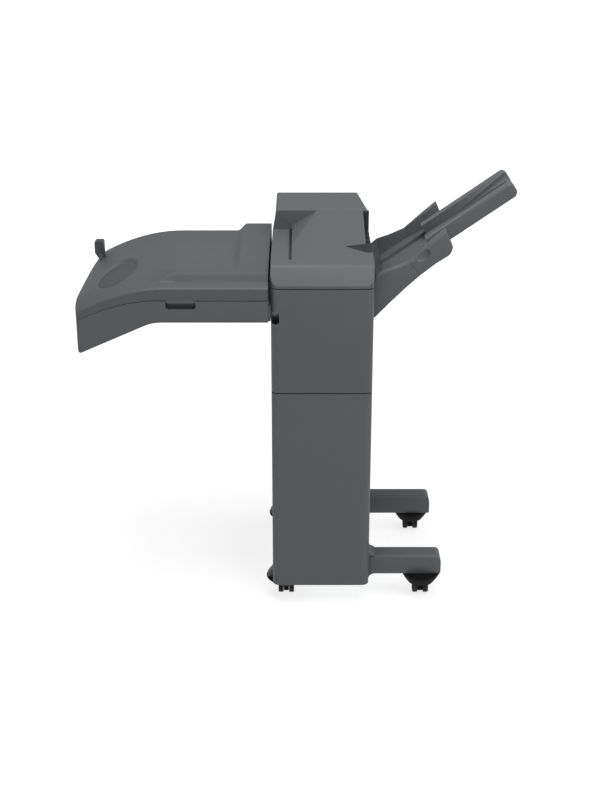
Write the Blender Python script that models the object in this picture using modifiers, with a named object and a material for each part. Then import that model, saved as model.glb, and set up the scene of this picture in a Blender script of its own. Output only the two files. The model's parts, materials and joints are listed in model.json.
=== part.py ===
"""A floor-standing finisher for an office printer: it takes sheets in from the left,
staples them in a tall cabinet and stacks them on a tray at the right.

Metres, +Z up. Places are measured from the cabinet: X from its middle, Y from its
front and Z from the floor. One empty moves the whole so that X and Y start from the
middle of its footprint.
"""

import math

import bmesh
import bpy
from mathutils import Matrix, Vector

for old in list(bpy.data.objects):
    bpy.data.objects.remove(old, do_unlink=True)

# Fits that every piece shares
SEAT = 0.0003
SLIDE_FIT = 0.0006
SEAM = 0.0025
OVERRUN = 0.020
ROUND_STEPS = 5
TURN_STEPS = 20
MERGE = 0.00001
SMOOTH_ANGLE = math.radians(40)

# Cabinet
CABINET_WIDTH = 0.268
CABINET_DEPTH = 0.580
CABINET_BOTTOM = 0.061
COVER_WALL = 0.003
COVER_BOTTOM = 0.0615
COVER_CORNER_RADIUS = 0.020
COVER_RETURN = 0.043
DOOR_SEAM_HEIGHT = 0.639
DOOR_TOP = 0.9265
DOOR_NOTCH_WIDTH = 0.022
DOOR_NOTCH_LOW = 0.832
DOOR_NOTCH_HIGH = 0.864
DOOR_NOTCH_RADIUS = 0.006
DOOR_AXIS_INSET = 0.007
DOOR_AXIS_DEPTH = 0.030
DOOR_PIN_RADIUS = 0.0025
DOOR_PIN_LENGTH = 0.018
DOOR_LUG_REACH = 0.016
DOOR_LUG_THICKNESS = 0.004

# Top cover
BEVEL_FOOT_RISE = 0.007
BEVEL_RISE = 0.045
BEVEL_DEPTH = 0.036
SHELF_START = 0.0605
SHELF_RISE = 0.007
BEVEL_RADIUS = 0.022
RAMP_START = 0.110
RAMP_RADIUS = 0.090
HOOD_FRONT = 0.364
HOOD_RADIUS = 0.030
HOOD_RISE = 0.054
HOOD_TRIM = 0.023
HOOD_LEDGE_DROP = 0.004
HOLLOW_WIDTH = 0.054
HOLLOW_START = 0.044
HOLLOW_RAMP_RISE = 0.012
HOLLOW_RAMP_END = 0.124
GUIDE_SLOT_WIDTH = 0.017
GUIDE_SLOT_START = 0.170
GUIDE_SLOT_DROP = 0.008
GUIDE_SHEET = 0.003
GUIDE_RIB_HEIGHT = 0.004
GUIDE_RIBS = 4
EXIT_MOUTH_DROP = 0.006
EXIT_MOUTH_HEIGHT = 0.025
EXIT_MOUTH_START = 0.125
EXIT_MOUTH_END = 0.415

# Frame
FRAME_SHEET = 0.0015
FRAME_FRONT = 0.055
FRAME_REAR_INSET = 0.035
FRAME_TOP = 0.978
PAN_SHEET = 0.002
PAN_HEIGHT = 0.020
WINDOW_HALF = 0.092
STAPLE_WINDOW_LOW = 0.700
STAPLE_WINDOW_HIGH = 0.885
LOWER_WINDOW_LOW = 0.170
LOWER_WINDOW_HIGH = 0.560
WINDOW_RADIUS = 0.012
TIE_WIDTH = 0.060
TIE_DEPTH = 0.018
TIE_SHEET = 0.002
LOWER_TIE_HEIGHT = 0.600
UPPER_TIE_HEIGHT = 0.790
TIE_PLACE = -0.052

# Sheet path in the cabinet
SLOT_LOW = 0.884
SLOT_HIGH = 0.906
SLOT_START = 0.090
SLOT_REAR_INSET = 0.090
ENTRANCE_PLACE = -0.110
ENTRANCE_HEIGHT = 0.890
ENTRANCE_RADIUS = 0.010
EXIT_PLACE = 0.114
EXIT_HEIGHT = 0.952
EXIT_RADIUS = 0.010
IDLER_RADIUS = 0.006
IDLER_SHAFT_RADIUS = 0.0025
SHAFT_RADIUS = 0.004
SHAFT_STAND_OFF = 0.006
TYRE_WIDTH = 0.026
TYRE_COUNT = 3
TYRE_FIRST = 0.170
TYRE_PITCH = 0.110
ROLLER_SIDES = 16
PULLEY_STAND_OFF = 0.007
PULLEY_WIDTH = 0.008
PULLEY_RADIUS = 0.010
BELT_THICKNESS = 0.0015
BELT_FACET = math.radians(15)
MOTOR_PLACE = 0.030
MOTOR_DROP = 0.090
MOTOR_RADIUS = 0.021
MOTOR_LENGTH = 0.040
MOTOR_SHAFT_RADIUS = 0.003
COMPILE_LOW_PLACE = -0.030
COMPILE_LOW_HEIGHT = 0.862
COMPILE_HIGH_PLACE = 0.096
COMPILE_HIGH_HEIGHT = 0.942
COMPILE_SHEET = 0.002
JOGGER_THICKNESS = 0.003
JOGGER_HEIGHT = 0.022
JOGGER_FOOT = 0.020
JOGGER_INSET = 0.030
JOGGER_MARGIN = 0.010
RAIL_PLACE = -0.055
RAIL_HEIGHT = 0.812
RAIL_RADIUS = 0.005
STAPLER_WIDTH = 0.062
STAPLER_LENGTH = 0.070
STAPLER_HEIGHT = 0.097
THROAT_DEPTH = 0.024
THROAT_BELOW = 0.007
THROAT_ABOVE = 0.012
STAPLER_START = 0.105
STAPLER_CORNER = 0.008
CARTRIDGE_WIDTH = 0.034
CARTRIDGE_HEIGHT = 0.026
CARTRIDGE_LENGTH = 0.060
CARTRIDGE_GRIP = 0.012
BOARD_THICKNESS = 0.0018
BOARD_STAND_OFF = 0.006
BOARD_WIDTH = 0.150
BOARD_LOW = 0.260
BOARD_HIGH = 0.500
BOARD_POST_RADIUS = 0.003
BOARD_POST_INSET = 0.012

# Tray lift
LIFT_TRAVEL = 0.400
LIFT_ROD_PLACE = 0.106
LIFT_ROD_RADIUS = 0.005
LIFT_ROD_FRONT = 0.165
LIFT_ROD_REAR = 0.365
LIFT_BAR_HEIGHT = 0.922
LIFT_BAR_THICKNESS = 0.006
LIFT_BAR_WIDTH = 0.026
CARRIAGE_TOP = 0.912
CARRIAGE_HEIGHT = 0.080
CARRIAGE_PLATE = 0.004
CARRIAGE_END = 0.018
CARRIAGE_BOSS = 0.018
CARRIAGE_GAP = 0.0024
CLAMP_HEIGHT = 0.034
ARM_WIDTH = 0.012
ARM_HEIGHT = 0.060
ARM_SLOT_FIT = 0.003
ARM_SLOT_RADIUS = 0.004
LIFT_PULLEY_RADIUS = 0.010
LIFT_PULLEY_WIDTH = 0.008
LIFT_PULLEY_PLACE = 0.101
LIFT_PULLEY_TOP = 0.896
LIFT_PULLEY_BOTTOM = 0.120
LIFT_AXLE_RADIUS = 0.003
LIFT_LUG = 0.003
LIFT_LUG_HALF = 0.010
LIFT_MOTOR_RADIUS = 0.020
LIFT_MOTOR_LENGTH = 0.042
LIFT_MOTOR_FOOT = 0.030

# Output tray
TRAY_ROOT = 0.0052
TRAY_START = 0.100
TRAY_END = 0.430
TRAY_WING = 0.036
TRAY_WING_ROOT = 0.013
TRAY_WALL = 0.004
TRAY_ROOT_LOW = 0.816
TRAY_ROOT_HIGH = 0.928
TRAY_REACH = 0.200
TRAY_TIP_LOW = 0.9935
TRAY_TIP_HIGH = 1.055
TRAY_SLOPE = math.radians(35.0)
TRAY_UNDER_SHARE = 0.35
TRAY_FLOOR = 0.010
CHANNEL_START = 0.185
CHANNEL_END = 0.365
CHANNEL_DEPTH = 0.012
EXTENSION_FIT = 0.004
EXTENSION_LENGTH = 0.270
EXTENSION_OUT = 0.222
EXTENSION_HEIGHT = 0.040
EXTENSION_RAIL = 0.040
EXTENSION_WEB = 0.005
EXTENSION_NOTCH = 0.014
EXTENSION_RADIUS = 0.012

# Transport at the left
TRANSPORT_REACH = 0.637
TRANSPORT_GAP = 0.0025
TRANSPORT_STEP = 0.020
TRANSPORT_WALL = 0.003
TRANSPORT_BOTTOM = 0.835
TRANSPORT_TIP = 0.749
END_BULGE = 0.017
END_STEPS = 12
BEND_INSET = 0.195
TRANSPORT_BEND_RADIUS = 0.110
DROOP_LENGTH = 0.237
DROOP = 0.066
DROOP_STEPS = 12
LID_EDGE = 0.9235
LID_LIP = 0.0265
LID_LIP_TIP = 0.014
LID_SEAM = 0.001
LID_WALL = 0.0025
RIDGE_RISE = 0.0235
BED_RISE = 0.0125
COLLAR_RISE = 0.022
COLLAR_START = 0.240
COLLAR_BLEND = 0.028
COLLAR_STEPS = 4
HANDLE_INSET = 0.233
HANDLE_WIDTH = 0.075
HANDLE_LOW = 0.874
HANDLE_HIGH = 0.889
HANDLE_DEPTH = 0.020
HANDLE_WALL = 0.002
HANDLE_FIT = 0.0015
HOLLOW_INSET = 0.085
HOLLOW_MIDDLE = 0.192
HOLLOW_HALF_WIDTH = 0.058
HOLLOW_HALF_DEPTH = 0.130
HOLLOW_DEPTH = 0.010
HOLLOW_STEEPNESS = 1.6
KNUCKLE_RADIUS = 0.0042
KNUCKLE_LENGTH = 0.028
KNUCKLE_GAP = 0.001
KNUCKLE_WEB = 0.003
HINGE_PIN_RADIUS = 0.0018
HINGE_INSET = 0.277
HINGE_RIGHT = 0.205
FLANGE_INSET = 0.030
FLANGE_HEIGHT = 0.030
GUIDE_INSET = 0.197
INLET_START = 0.020
INLET_END = 0.046
GUIDE_PLATE = 0.0015
GUIDE_HEIGHT = 0.886
ROLLER_HEIGHT = 0.878
ROLLER_RADIUS = 0.010
ROLLER_FIRST = 0.200
ROLLER_COUNT = 3
ROLLER_MARGIN = 0.040
ROLLER_WINDOW = 0.013
FEED_PULLEY_RADIUS = 0.008
FEED_PULLEY_WIDTH = 0.006

# Paper stop
STOP_WIDTH = 0.026
STOP_INSET = 0.006
STOP_START = 0.458
STOP_DEPTH = 0.030
STOP_HEIGHT = 0.050
STOP_BARREL = 0.008
STOP_LIFT = 0.0110
STOP_RADIUS = 0.005
STOP_WALL = 0.003
STOP_TOE_SHARE = 0.9
STOP_LUG_SHARE = 0.6
STOP_PIN_RADIUS = 0.002
STOP_LUG = 0.005

# Legs and casters
LEG_LENGTH = 0.204
LEG_WIDTH = 0.060
LEG_BOTTOM = 0.0775
LEG_TOP = 0.134
LEG_RADIUS = 0.020
LEG_EDGE_RADIUS = 0.004
LEG_CREST_RADIUS = 0.010
REAR_LEG_OFFSET = 0.0175
LEG_WALL = 0.004
LEG_PLATE = 0.006
CASTER_RIGHT = 0.285
CASTER_LEFT = -0.097
CASTER_FRONT = 0.0675
CASTER_REAR_INSET = 0.1175
CUP_RADIUS = 0.0555
CUP_MOUTH_RADIUS = 0.0365
CUP_MOUTH_HEIGHT = 0.041
CUP_BAND = 0.004
CUP_WALL = 0.002
CUP_LUG_WIDTH = 0.036
CUP_LUG_HEIGHT = 0.024
WHEEL_HEIGHT = 0.0235
WHEEL_WIDTH = 0.014
WHEEL_GAP = 0.016
WHEEL_BULGE = 0.003
WHEEL_SIDES = 24
AXLE_RADIUS = 0.003
FORK_WIDTH = 0.0106
FORK_RADIUS = 0.014
FORK_DISC_RADIUS = 0.020
FORK_DISC = 0.004
STEM_RADIUS = 0.005
STEM_LENGTH = 0.009
CASTER_TRAIL = 0.008

HALF_WIDTH = CABINET_WIDTH / 2
FRAME_REAR = CABINET_DEPTH - FRAME_REAR_INSET
PULLEY_PLACE = FRAME_REAR + PULLEY_STAND_OFF
MOTOR_HEIGHT = ENTRANCE_HEIGHT - MOTOR_DROP
SLOT_END = CABINET_DEPTH - SLOT_REAR_INSET
CASTER_REAR = CABINET_DEPTH - CASTER_REAR_INSET
INNER_HALF = HALF_WIDTH - COVER_WALL
SIDE_FRONT = COVER_RETURN + SEAM
REAR_INSIDE = CABINET_DEPTH - COVER_WALL
TOP_COVER_BOTTOM = DOOR_TOP + SEAM
BEVEL_FOOT = TOP_COVER_BOTTOM + BEVEL_FOOT_RISE
BEVEL_HEAD = BEVEL_FOOT + BEVEL_RISE
SHELF_HEIGHT = BEVEL_HEAD + SHELF_RISE
HOOD_HEIGHT = SHELF_HEIGHT + HOOD_RISE
HOOD_LEDGE = SHELF_HEIGHT - HOOD_LEDGE_DROP
HOLLOW_RAMP_HEIGHT = SHELF_HEIGHT + HOLLOW_RAMP_RISE
GUIDE_SLOT_FLOOR = SHELF_HEIGHT - GUIDE_SLOT_DROP
EXIT_MOUTH_HIGH = SHELF_HEIGHT - EXIT_MOUTH_DROP
EXIT_MOUTH_LOW = EXIT_MOUTH_HIGH - EXIT_MOUTH_HEIGHT
TRANSPORT_DEPTH = CABINET_DEPTH - TRANSPORT_STEP
TRANSPORT_BEND = TRANSPORT_REACH - BEND_INSET
DROOP_START = TRANSPORT_REACH - DROOP_LENGTH
DROOP_STEP = DROOP_LENGTH / DROOP_STEPS
HANDLE_FROM = TRANSPORT_REACH - HANDLE_INSET
HANDLE_TO = HANDLE_FROM - HANDLE_WIDTH
HOLLOW_PLACE = TRANSPORT_REACH - HOLLOW_INSET
HINGE_LEFT = TRANSPORT_REACH - HINGE_INSET
STOP_PLACE = TRANSPORT_REACH - STOP_INSET
GUIDE_START = TRANSPORT_REACH - GUIDE_INSET
INLET_RIGHT = TRANSPORT_BEND + INLET_START
INLET_LEFT = TRANSPORT_BEND + INLET_END
ROLLER_PITCH = (GUIDE_START - ROLLER_MARGIN - ROLLER_FIRST) / (ROLLER_COUNT - 1)
ROLLER_PLACES = [ROLLER_FIRST + ROLLER_PITCH * step for step in range(ROLLER_COUNT)]
LID_AXIS_DEPTH = TRANSPORT_DEPTH + KNUCKLE_RADIUS + SEAT
LID_AXIS_HEIGHT = LID_EDGE - LID_LIP

# The tray wing's upper edge as shares of its reach and of its rise
WING_SHARES = ((0.0, 0.0), (0.10, 0.14), (0.28, 0.24), (0.48, 0.38), (0.70, 0.70), (0.92, 1.0))
# Where along the tray its wings begin and end widening
FLARE_SHARES = (0.50, 0.78)
# The lid's section from front to back as shares of its depth, of the ridge and of the bed
LID_SHARES = (
    (0.054, 0.30, 0), (0.076, 1, 0), (0.170, 1, 0), (0.270, 0.96, 0), (0.300, 0, 1),
    (0.355, 0, 1), (0.420, 0, 1), (0.485, 0, 1), (0.550, 0, 1), (0.700, 0, 1),
    (0.860, 0, 1), (0.970, 0, 1), (1, 0, 0.8),
)
LID_LIP_SHARE = 0.12

# Surfaces, each a colour, a roughness and a metallic value
MOULDING = ((0.098, 0.100, 0.104), 0.55, 0.0)
DARK_MOULDING = ((0.070, 0.072, 0.075), 0.60, 0.0)
BLACK_MOULDING = ((0.012, 0.012, 0.013), 0.50, 0.0)
BLUE_MOULDING = ((0.030, 0.110, 0.260), 0.45, 0.0)
STEEL = ((0.45, 0.46, 0.47), 0.40, 1.0)
RUBBER = ((0.020, 0.020, 0.021), 0.85, 0.0)
BOARD_GREEN = ((0.012, 0.070, 0.030), 0.50, 0.0)


# Shared tools

parts = bpy.data.collections.new("printer_finisher")
guides = bpy.data.collections.new("cutters")
bpy.context.scene.collection.children.link(parts)
bpy.context.scene.collection.children.link(guides)
root = bpy.data.objects.new("finisher_origin", None)
parts.objects.link(root)


def surface(name, look):
    """The material of one piece."""
    colour, roughness, metallic = look
    made = bpy.data.materials.new(name)
    made.use_nodes = True
    shader = made.node_tree.nodes["Principled BSDF"]
    shader.inputs["Base Color"].default_value = (*colour, 1)
    shader.inputs["Roughness"].default_value = roughness
    shader.inputs["Metallic"].default_value = metallic
    return made


def link(piece, look=None):
    """Put a finished piece in the parts, or a shape without a look among the cutters."""
    for holder in list(piece.users_collection):
        holder.objects.unlink(piece)
    if look is None:
        guides.objects.link(piece)
        piece.hide_render = True
        piece.display_type = "WIRE"
    else:
        parts.objects.link(piece)
        piece.data.materials.append(surface(piece.name + "_surface", look))
    if piece.parent is None:
        piece.parent = root
    return piece


def hang(piece, carrier):
    """Hang a piece on the one that carries it, where it already is."""
    place = piece.location.copy()
    above = carrier
    while above is not root:
        place -= above.location
        above = above.parent
    piece.parent = carrier
    piece.location = place
    return piece


def cut(piece, cutter):
    change = piece.modifiers.new("cut", "BOOLEAN")
    change.object = cutter
    change.operation = "DIFFERENCE"
    return piece


def join(piece, other):
    change = piece.modifiers.new("join", "BOOLEAN")
    change.object = other
    change.operation = "UNION"
    return piece


def overlap(piece, other):
    change = piece.modifiers.new("overlap", "BOOLEAN")
    change.object = other
    change.operation = "INTERSECT"
    return piece


def settle(name, mesh, look, pivot):
    """Make the object with its origin at the pivot and its mesh where it was drawn."""
    mesh.transform(Matrix.Translation(-Vector(pivot)))
    piece = bpy.data.objects.new(name, mesh)
    piece.location = pivot
    return link(piece, look)


def box(name, low, high, look=None, pivot=(0, 0, 0)):
    """A block between two opposite corners."""
    low = Vector(low)
    high = Vector(high)
    form = bmesh.new()
    bmesh.ops.create_cube(form, size=1)
    size = high - low
    bmesh.ops.scale(form, vec=size, verts=form.verts)
    bmesh.ops.translate(form, vec=(low + high) / 2, verts=form.verts)
    mesh = bpy.data.meshes.new(name)
    form.to_mesh(mesh)
    form.free()
    return settle(name, mesh, look, pivot)


def rod(name, start, end, radius, look=None, pivot=(0, 0, 0), end_radius=None, sides=TURN_STEPS):
    """A round bar between two points, or a cone where the end radius differs."""
    start = Vector(start)
    end = Vector(end)
    form = bmesh.new()
    tip = radius if end_radius is None else end_radius
    bmesh.ops.create_cone(form, cap_ends=True, segments=sides, radius1=radius, radius2=tip,
                          depth=(end - start).length)
    turn = Vector((0, 0, 1)).rotation_difference(end - start)
    bmesh.ops.rotate(form, cent=(0, 0, 0), matrix=turn.to_matrix(), verts=form.verts)
    bmesh.ops.translate(form, vec=(start + end) / 2, verts=form.verts)
    mesh = bpy.data.meshes.new(name)
    form.to_mesh(mesh)
    form.free()
    mesh.shade_smooth()
    mesh.set_sharp_from_angle(angle=SMOOTH_ANGLE)
    return settle(name, mesh, look, pivot)


AXIS_TURN = {
    "X": Matrix(((0, 0, 1), (1, 0, 0), (0, 1, 0))),
    "Y": Matrix(((1, 0, 0), (0, 0, -1), (0, 1, 0))),
    "Z": Matrix.Identity(3),
}


def prism(name, outlines, axis, start, end, look=None, pivot=(0, 0, 0)):
    """A flat outline, with any holes after it, drawn out between two places on one axis.

    Along X an outline is (Y, Z), along Y it is (X, Z) and along Z it is (X, Y).
    """
    curve = bpy.data.curves.new(name, "CURVE")
    curve.dimensions = "2D"
    curve.fill_mode = "BOTH"
    curve.extrude = (end - start) / 2
    for outline in outlines:
        spline = curve.splines.new("POLY")
        spline.points.add(len(outline) - 1)
        spline.use_cyclic_u = True
        for point, (across, up) in zip(spline.points, outline):
            point.co = (across, up, 0, 1)
    drawn = bpy.data.objects.new(name, curve)
    bpy.context.scene.collection.objects.link(drawn)
    depsgraph = bpy.context.evaluated_depsgraph_get()
    mesh = bpy.data.meshes.new_from_object(drawn.evaluated_get(depsgraph))
    bpy.data.objects.remove(drawn, do_unlink=True)
    form = bmesh.new()
    form.from_mesh(mesh)
    bmesh.ops.remove_doubles(form, verts=form.verts, dist=MERGE)
    middle = (start + end) / 2
    turn = AXIS_TURN[axis]
    bmesh.ops.transform(form, matrix=turn.to_4x4(), verts=form.verts)
    along = {"X": (middle, 0, 0), "Y": (0, middle, 0), "Z": (0, 0, middle)}[axis]
    bmesh.ops.translate(form, vec=along, verts=form.verts)
    bmesh.ops.recalc_face_normals(form, faces=form.faces)
    form.to_mesh(mesh)
    form.free()
    mesh.materials.clear()
    return settle(name, mesh, look, pivot)


def turned(name, profile, axis, centre, look=None, sides=TURN_STEPS, hollow=False, lead=0):
    """A turned piece: (along, radius) pairs from its far end back to its near end.

    The lead is the angle by which its first corner is turned.
    """
    points = [Vector((radius * math.cos(lead), radius * math.sin(lead), along))
              for along, radius in profile]
    mesh = bpy.data.meshes.new(name)
    edges = [(place, place + 1) for place in range(len(points) - 1)]
    if hollow:
        edges.append((len(points) - 1, 0))
    mesh.from_pydata(points, edges, [])
    piece = bpy.data.objects.new(name, mesh)
    piece.location = centre
    piece.rotation_euler = {
        "X": (0, math.radians(90), 0),
        "Y": (math.radians(-90), 0, 0),
        "Z": (0, 0, 0),
    }[axis]
    screw = piece.modifiers.new("turn", "SCREW")
    screw.steps = sides
    screw.render_steps = sides
    screw.use_merge_vertices = True
    screw.merge_threshold = MERGE
    screw.use_smooth_shade = False
    return link(piece, look)


def rounded(corners, steps=ROUND_STEPS):
    """An outline through (across, up, radius) corners, each rounded by its radius."""
    outline = []
    count = len(corners)
    for place, (across, up, radius) in enumerate(corners):
        here = Vector((across, up))
        if radius == 0:
            outline.append((across, up))
            continue
        before = (Vector(corners[place - 1][:2]) - here).normalized()
        after = (Vector(corners[(place + 1) % count][:2]) - here).normalized()
        half = before.angle(after) / 2
        centre = here + (before + after).normalized() * (radius / math.sin(half))
        first = here + before * (radius / math.tan(half)) - centre
        last = here + after * (radius / math.tan(half)) - centre
        sweep = first.angle_signed(last)
        for step in range(steps + 1):
            turn = Matrix.Rotation(-sweep * step / steps, 2)
            outline.append(tuple(centre + turn @ first))
    return outline


def rectangle(low_across, low_up, high_across, high_up, radius=0):
    return rounded([
        (low_across, low_up, radius),
        (high_across, low_up, radius),
        (high_across, high_up, radius),
        (low_across, high_up, radius),
    ])


def circle(across, up, radius, sides=TURN_STEPS):
    outline = []
    for step in range(sides):
        angle = math.tau * step / sides
        outline.append((across + radius * math.cos(angle), up + radius * math.sin(angle)))
    return outline


def belt_outline(wheels, offset):
    """The outline of a belt round (across, up, radius) wheels listed anticlockwise."""
    outline = []
    count = len(wheels)
    normals = []
    for place in range(count):
        across, up, radius = wheels[place]
        next_across, next_up, next_radius = wheels[(place + 1) % count]
        run = Vector((next_across - across, next_up - up))
        lean = math.acos((radius - next_radius) / run.length)
        normals.append(math.atan2(run.y, run.x) - lean)
    for place in range(count):
        across, up, radius = wheels[place]
        first = normals[place - 1]
        sweep = (normals[place] - first) % math.tau
        steps = math.ceil(sweep / BELT_FACET)
        reach = (radius + offset) / math.cos(sweep / steps / 2)
        for step in range(steps + 1):
            angle = first + sweep * step / steps
            outline.append((across + reach * math.cos(angle), up + reach * math.sin(angle)))
    return outline


def belt(name, wheels, axis, start, end, look):
    inner = belt_outline(wheels, SEAT)
    outer = belt_outline(wheels, SEAT + BELT_THICKNESS)
    return prism(name, [outer, inner], axis, start, end, look)


# Cabinet covers

def cover_plan(inset):
    """The cabinet's outline from above, with its front corners rounded."""
    side = HALF_WIDTH - inset
    radius = COVER_CORNER_RADIUS - inset
    return rounded([
        (-side, inset, radius),
        (side, inset, radius),
        (side, CABINET_DEPTH - inset, 0),
        (-side, CABINET_DEPTH - inset, 0),
    ])


def front_shell(name, bottom, top, floor):
    """A front cover with rounded corners, closed at its top and above its floor."""
    shell = prism(name, [cover_plan(0)], "Z", bottom, top, MOULDING)
    rear = box(name + "_rear", (-HALF_WIDTH - OVERRUN, COVER_RETURN, bottom - OVERRUN),
               (HALF_WIDTH + OVERRUN, CABINET_DEPTH + OVERRUN, top + OVERRUN))
    inside = prism(name + "_inside", [cover_plan(COVER_WALL)], "Z", floor, top - COVER_WALL)
    cut(shell, inside)
    return cut(shell, rear)


def door_axis():
    return (HALF_WIDTH - DOOR_AXIS_INSET, DOOR_AXIS_DEPTH, 0)


def pin_hole(name, low, high):
    across, depth, _ = door_axis()
    return rod(name, (across, depth, low), (across, depth, high), DOOR_PIN_RADIUS + SEAT)


def lower_front_cover():
    top = DOOR_SEAM_HEIGHT - SEAM / 2
    cover = front_shell("lower_front_cover", COVER_BOTTOM, top, COVER_BOTTOM - OVERRUN)
    return cut(cover, pin_hole("lower_cover_pin_hole", top - OVERRUN, top + OVERRUN))


def front_door():
    """The door, its finger notch at the left and its pin holes at the right."""
    bottom = DOOR_SEAM_HEIGHT + SEAM / 2
    door = front_shell("front_door", bottom, DOOR_TOP, bottom + COVER_WALL)
    notch = prism("door_notch", [rectangle(
        -HALF_WIDTH - OVERRUN, DOOR_NOTCH_LOW, -HALF_WIDTH + DOOR_NOTCH_WIDTH, DOOR_NOTCH_HIGH,
        DOOR_NOTCH_RADIUS)], "Y", -OVERRUN, COVER_CORNER_RADIUS + COVER_WALL)
    cut(door, notch)
    cut(door, pin_hole("door_lower_hole", bottom - OVERRUN, bottom + OVERRUN))
    cut(door, pin_hole("door_upper_hole", DOOR_TOP - OVERRUN, DOOR_TOP + OVERRUN))
    return door


def door_pins():
    """Two short pins: one up from the lower cover and one down from the top cover."""
    across, depth, _ = door_axis()
    half = DOOR_PIN_LENGTH / 2
    made = []
    places = (("door_pin_lower", DOOR_SEAM_HEIGHT), ("door_pin_upper", DOOR_TOP + SEAM))
    for name, height in places:
        made.append(rod(name, (across, depth, height - half), (across, depth, height + half),
                        DOOR_PIN_RADIUS, STEEL))
    return made


def left_side_cover():
    outline = rectangle(SIDE_FRONT, COVER_BOTTOM, REAR_INSIDE - SEAT, DOOR_TOP)
    entry = rectangle(SLOT_START, SLOT_LOW, SLOT_END, SLOT_HIGH, COVER_WALL)
    return prism("left_side_cover", [outline, entry], "X", -HALF_WIDTH, -INNER_HALF, MOULDING)


def right_side_cover():
    """The side that the tray rides on, with a slot for each of the lift's arms."""
    outlines = [rectangle(SIDE_FRONT, COVER_BOTTOM, REAR_INSIDE - SEAT, DOOR_TOP)]
    low = CARRIAGE_TOP - CARRIAGE_HEIGHT - LIFT_TRAVEL
    high = CARRIAGE_TOP + ARM_SLOT_FIT - (CARRIAGE_HEIGHT - ARM_HEIGHT) / 2
    for middle in (LIFT_ROD_FRONT, LIFT_ROD_REAR):
        half = ARM_WIDTH / 2 + ARM_SLOT_FIT
        outlines.append(rectangle(middle - half, low, middle + half, high, ARM_SLOT_RADIUS))
    return prism("right_side_cover", outlines, "X", INNER_HALF, HALF_WIDTH, MOULDING)


def rear_cover():
    outline = rectangle(-HALF_WIDTH, COVER_BOTTOM, HALF_WIDTH, DOOR_TOP)
    return prism("rear_cover", [outline], "Y", REAR_INSIDE, CABINET_DEPTH, MOULDING)


# Top cover

def top_profile(inset):
    """The top cover from the side: bevel, shelf, ramp and hood."""
    low = TOP_COVER_BOTTOM - (OVERRUN if inset else 0)
    return rounded([
        (inset, low, 0),
        (inset, BEVEL_FOOT, 0),
        (BEVEL_DEPTH + inset / 2, BEVEL_HEAD - inset, BEVEL_RADIUS),
        (SHELF_START, SHELF_HEIGHT - inset, 0),
        (RAMP_START, SHELF_HEIGHT - inset, RAMP_RADIUS),
        (HOOD_FRONT, HOOD_HEIGHT - inset, HOOD_RADIUS),
        (CABINET_DEPTH - inset, HOOD_HEIGHT - inset, 0),
        (CABINET_DEPTH - inset, low, 0),
    ])


def top_form(name, inset, look=None):
    """The top cover's outer form, or the hollow under it where an inset is given."""
    form = prism(name, [top_profile(inset)], "X", -HALF_WIDTH + inset, HALF_WIDTH - inset, look)
    plan = prism(name + "_plan", [cover_plan(inset)], "Z", TOP_COVER_BOTTOM - 2 * OVERRUN,
                 HOOD_HEIGHT + OVERRUN)
    overlap(form, plan)
    step = HOLLOW_WIDTH - HALF_WIDTH
    hollow = box(name + "_hollow", (-HALF_WIDTH - OVERRUN, HOLLOW_START, SHELF_HEIGHT - inset),
                 (step + inset, HOOD_FRONT + inset, HOOD_HEIGHT + OVERRUN))
    cut(form, hollow)
    top = HOOD_HEIGHT - inset
    low = HOLLOW_RAMP_HEIGHT - inset
    end = HOLLOW_RAMP_END - HALF_WIDTH
    wedge = prism(name + "_wedge", [[
        (step, low), (end, top), (end, top + OVERRUN), (step, top + OVERRUN)]],
        "Y", RAMP_START, HOOD_FRONT + inset)
    cut(form, wedge)
    slot = box(name + "_slot",
               (HALF_WIDTH - GUIDE_SLOT_WIDTH - inset, GUIDE_SLOT_START - inset,
                GUIDE_SLOT_FLOOR - inset),
               (HALF_WIDTH + OVERRUN, HOOD_FRONT + inset, HOOD_HEIGHT + OVERRUN))
    cut(form, slot)
    trim = prism(name + "_trim", [[
        (HALF_WIDTH - inset, HOOD_FRONT + inset),
        (HALF_WIDTH + OVERRUN, HOOD_FRONT + inset),
        (HALF_WIDTH + OVERRUN, CABINET_DEPTH + OVERRUN),
        (HALF_WIDTH - inset - HOOD_TRIM * (1 + OVERRUN / (CABINET_DEPTH - HOOD_FRONT)),
         CABINET_DEPTH + OVERRUN),
    ]], "Z", HOOD_LEDGE - inset, HOOD_HEIGHT + OVERRUN)
    return cut(form, trim)


def top_cover():
    cover = top_form("top_cover", 0, MOULDING)
    cut(cover, top_form("top_cover_inside", COVER_WALL))
    mouth = box("exit_mouth", (INNER_HALF - OVERRUN / 2, EXIT_MOUTH_START, EXIT_MOUTH_LOW),
                (HALF_WIDTH + OVERRUN, EXIT_MOUTH_END, EXIT_MOUTH_HIGH))
    cut(cover, mouth)
    across, depth, _ = door_axis()
    half = DOOR_LUG_REACH / 2
    lug = box("door_lug", (across - half, depth - half, TOP_COVER_BOTTOM),
              (HALF_WIDTH - COVER_WALL / 2, depth + half, TOP_COVER_BOTTOM + DOOR_LUG_THICKNESS))
    join(cover, lug)
    return cut(cover, pin_hole("lug_hole", TOP_COVER_BOTTOM - OVERRUN, TOP_COVER_BOTTOM + OVERRUN))


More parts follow.
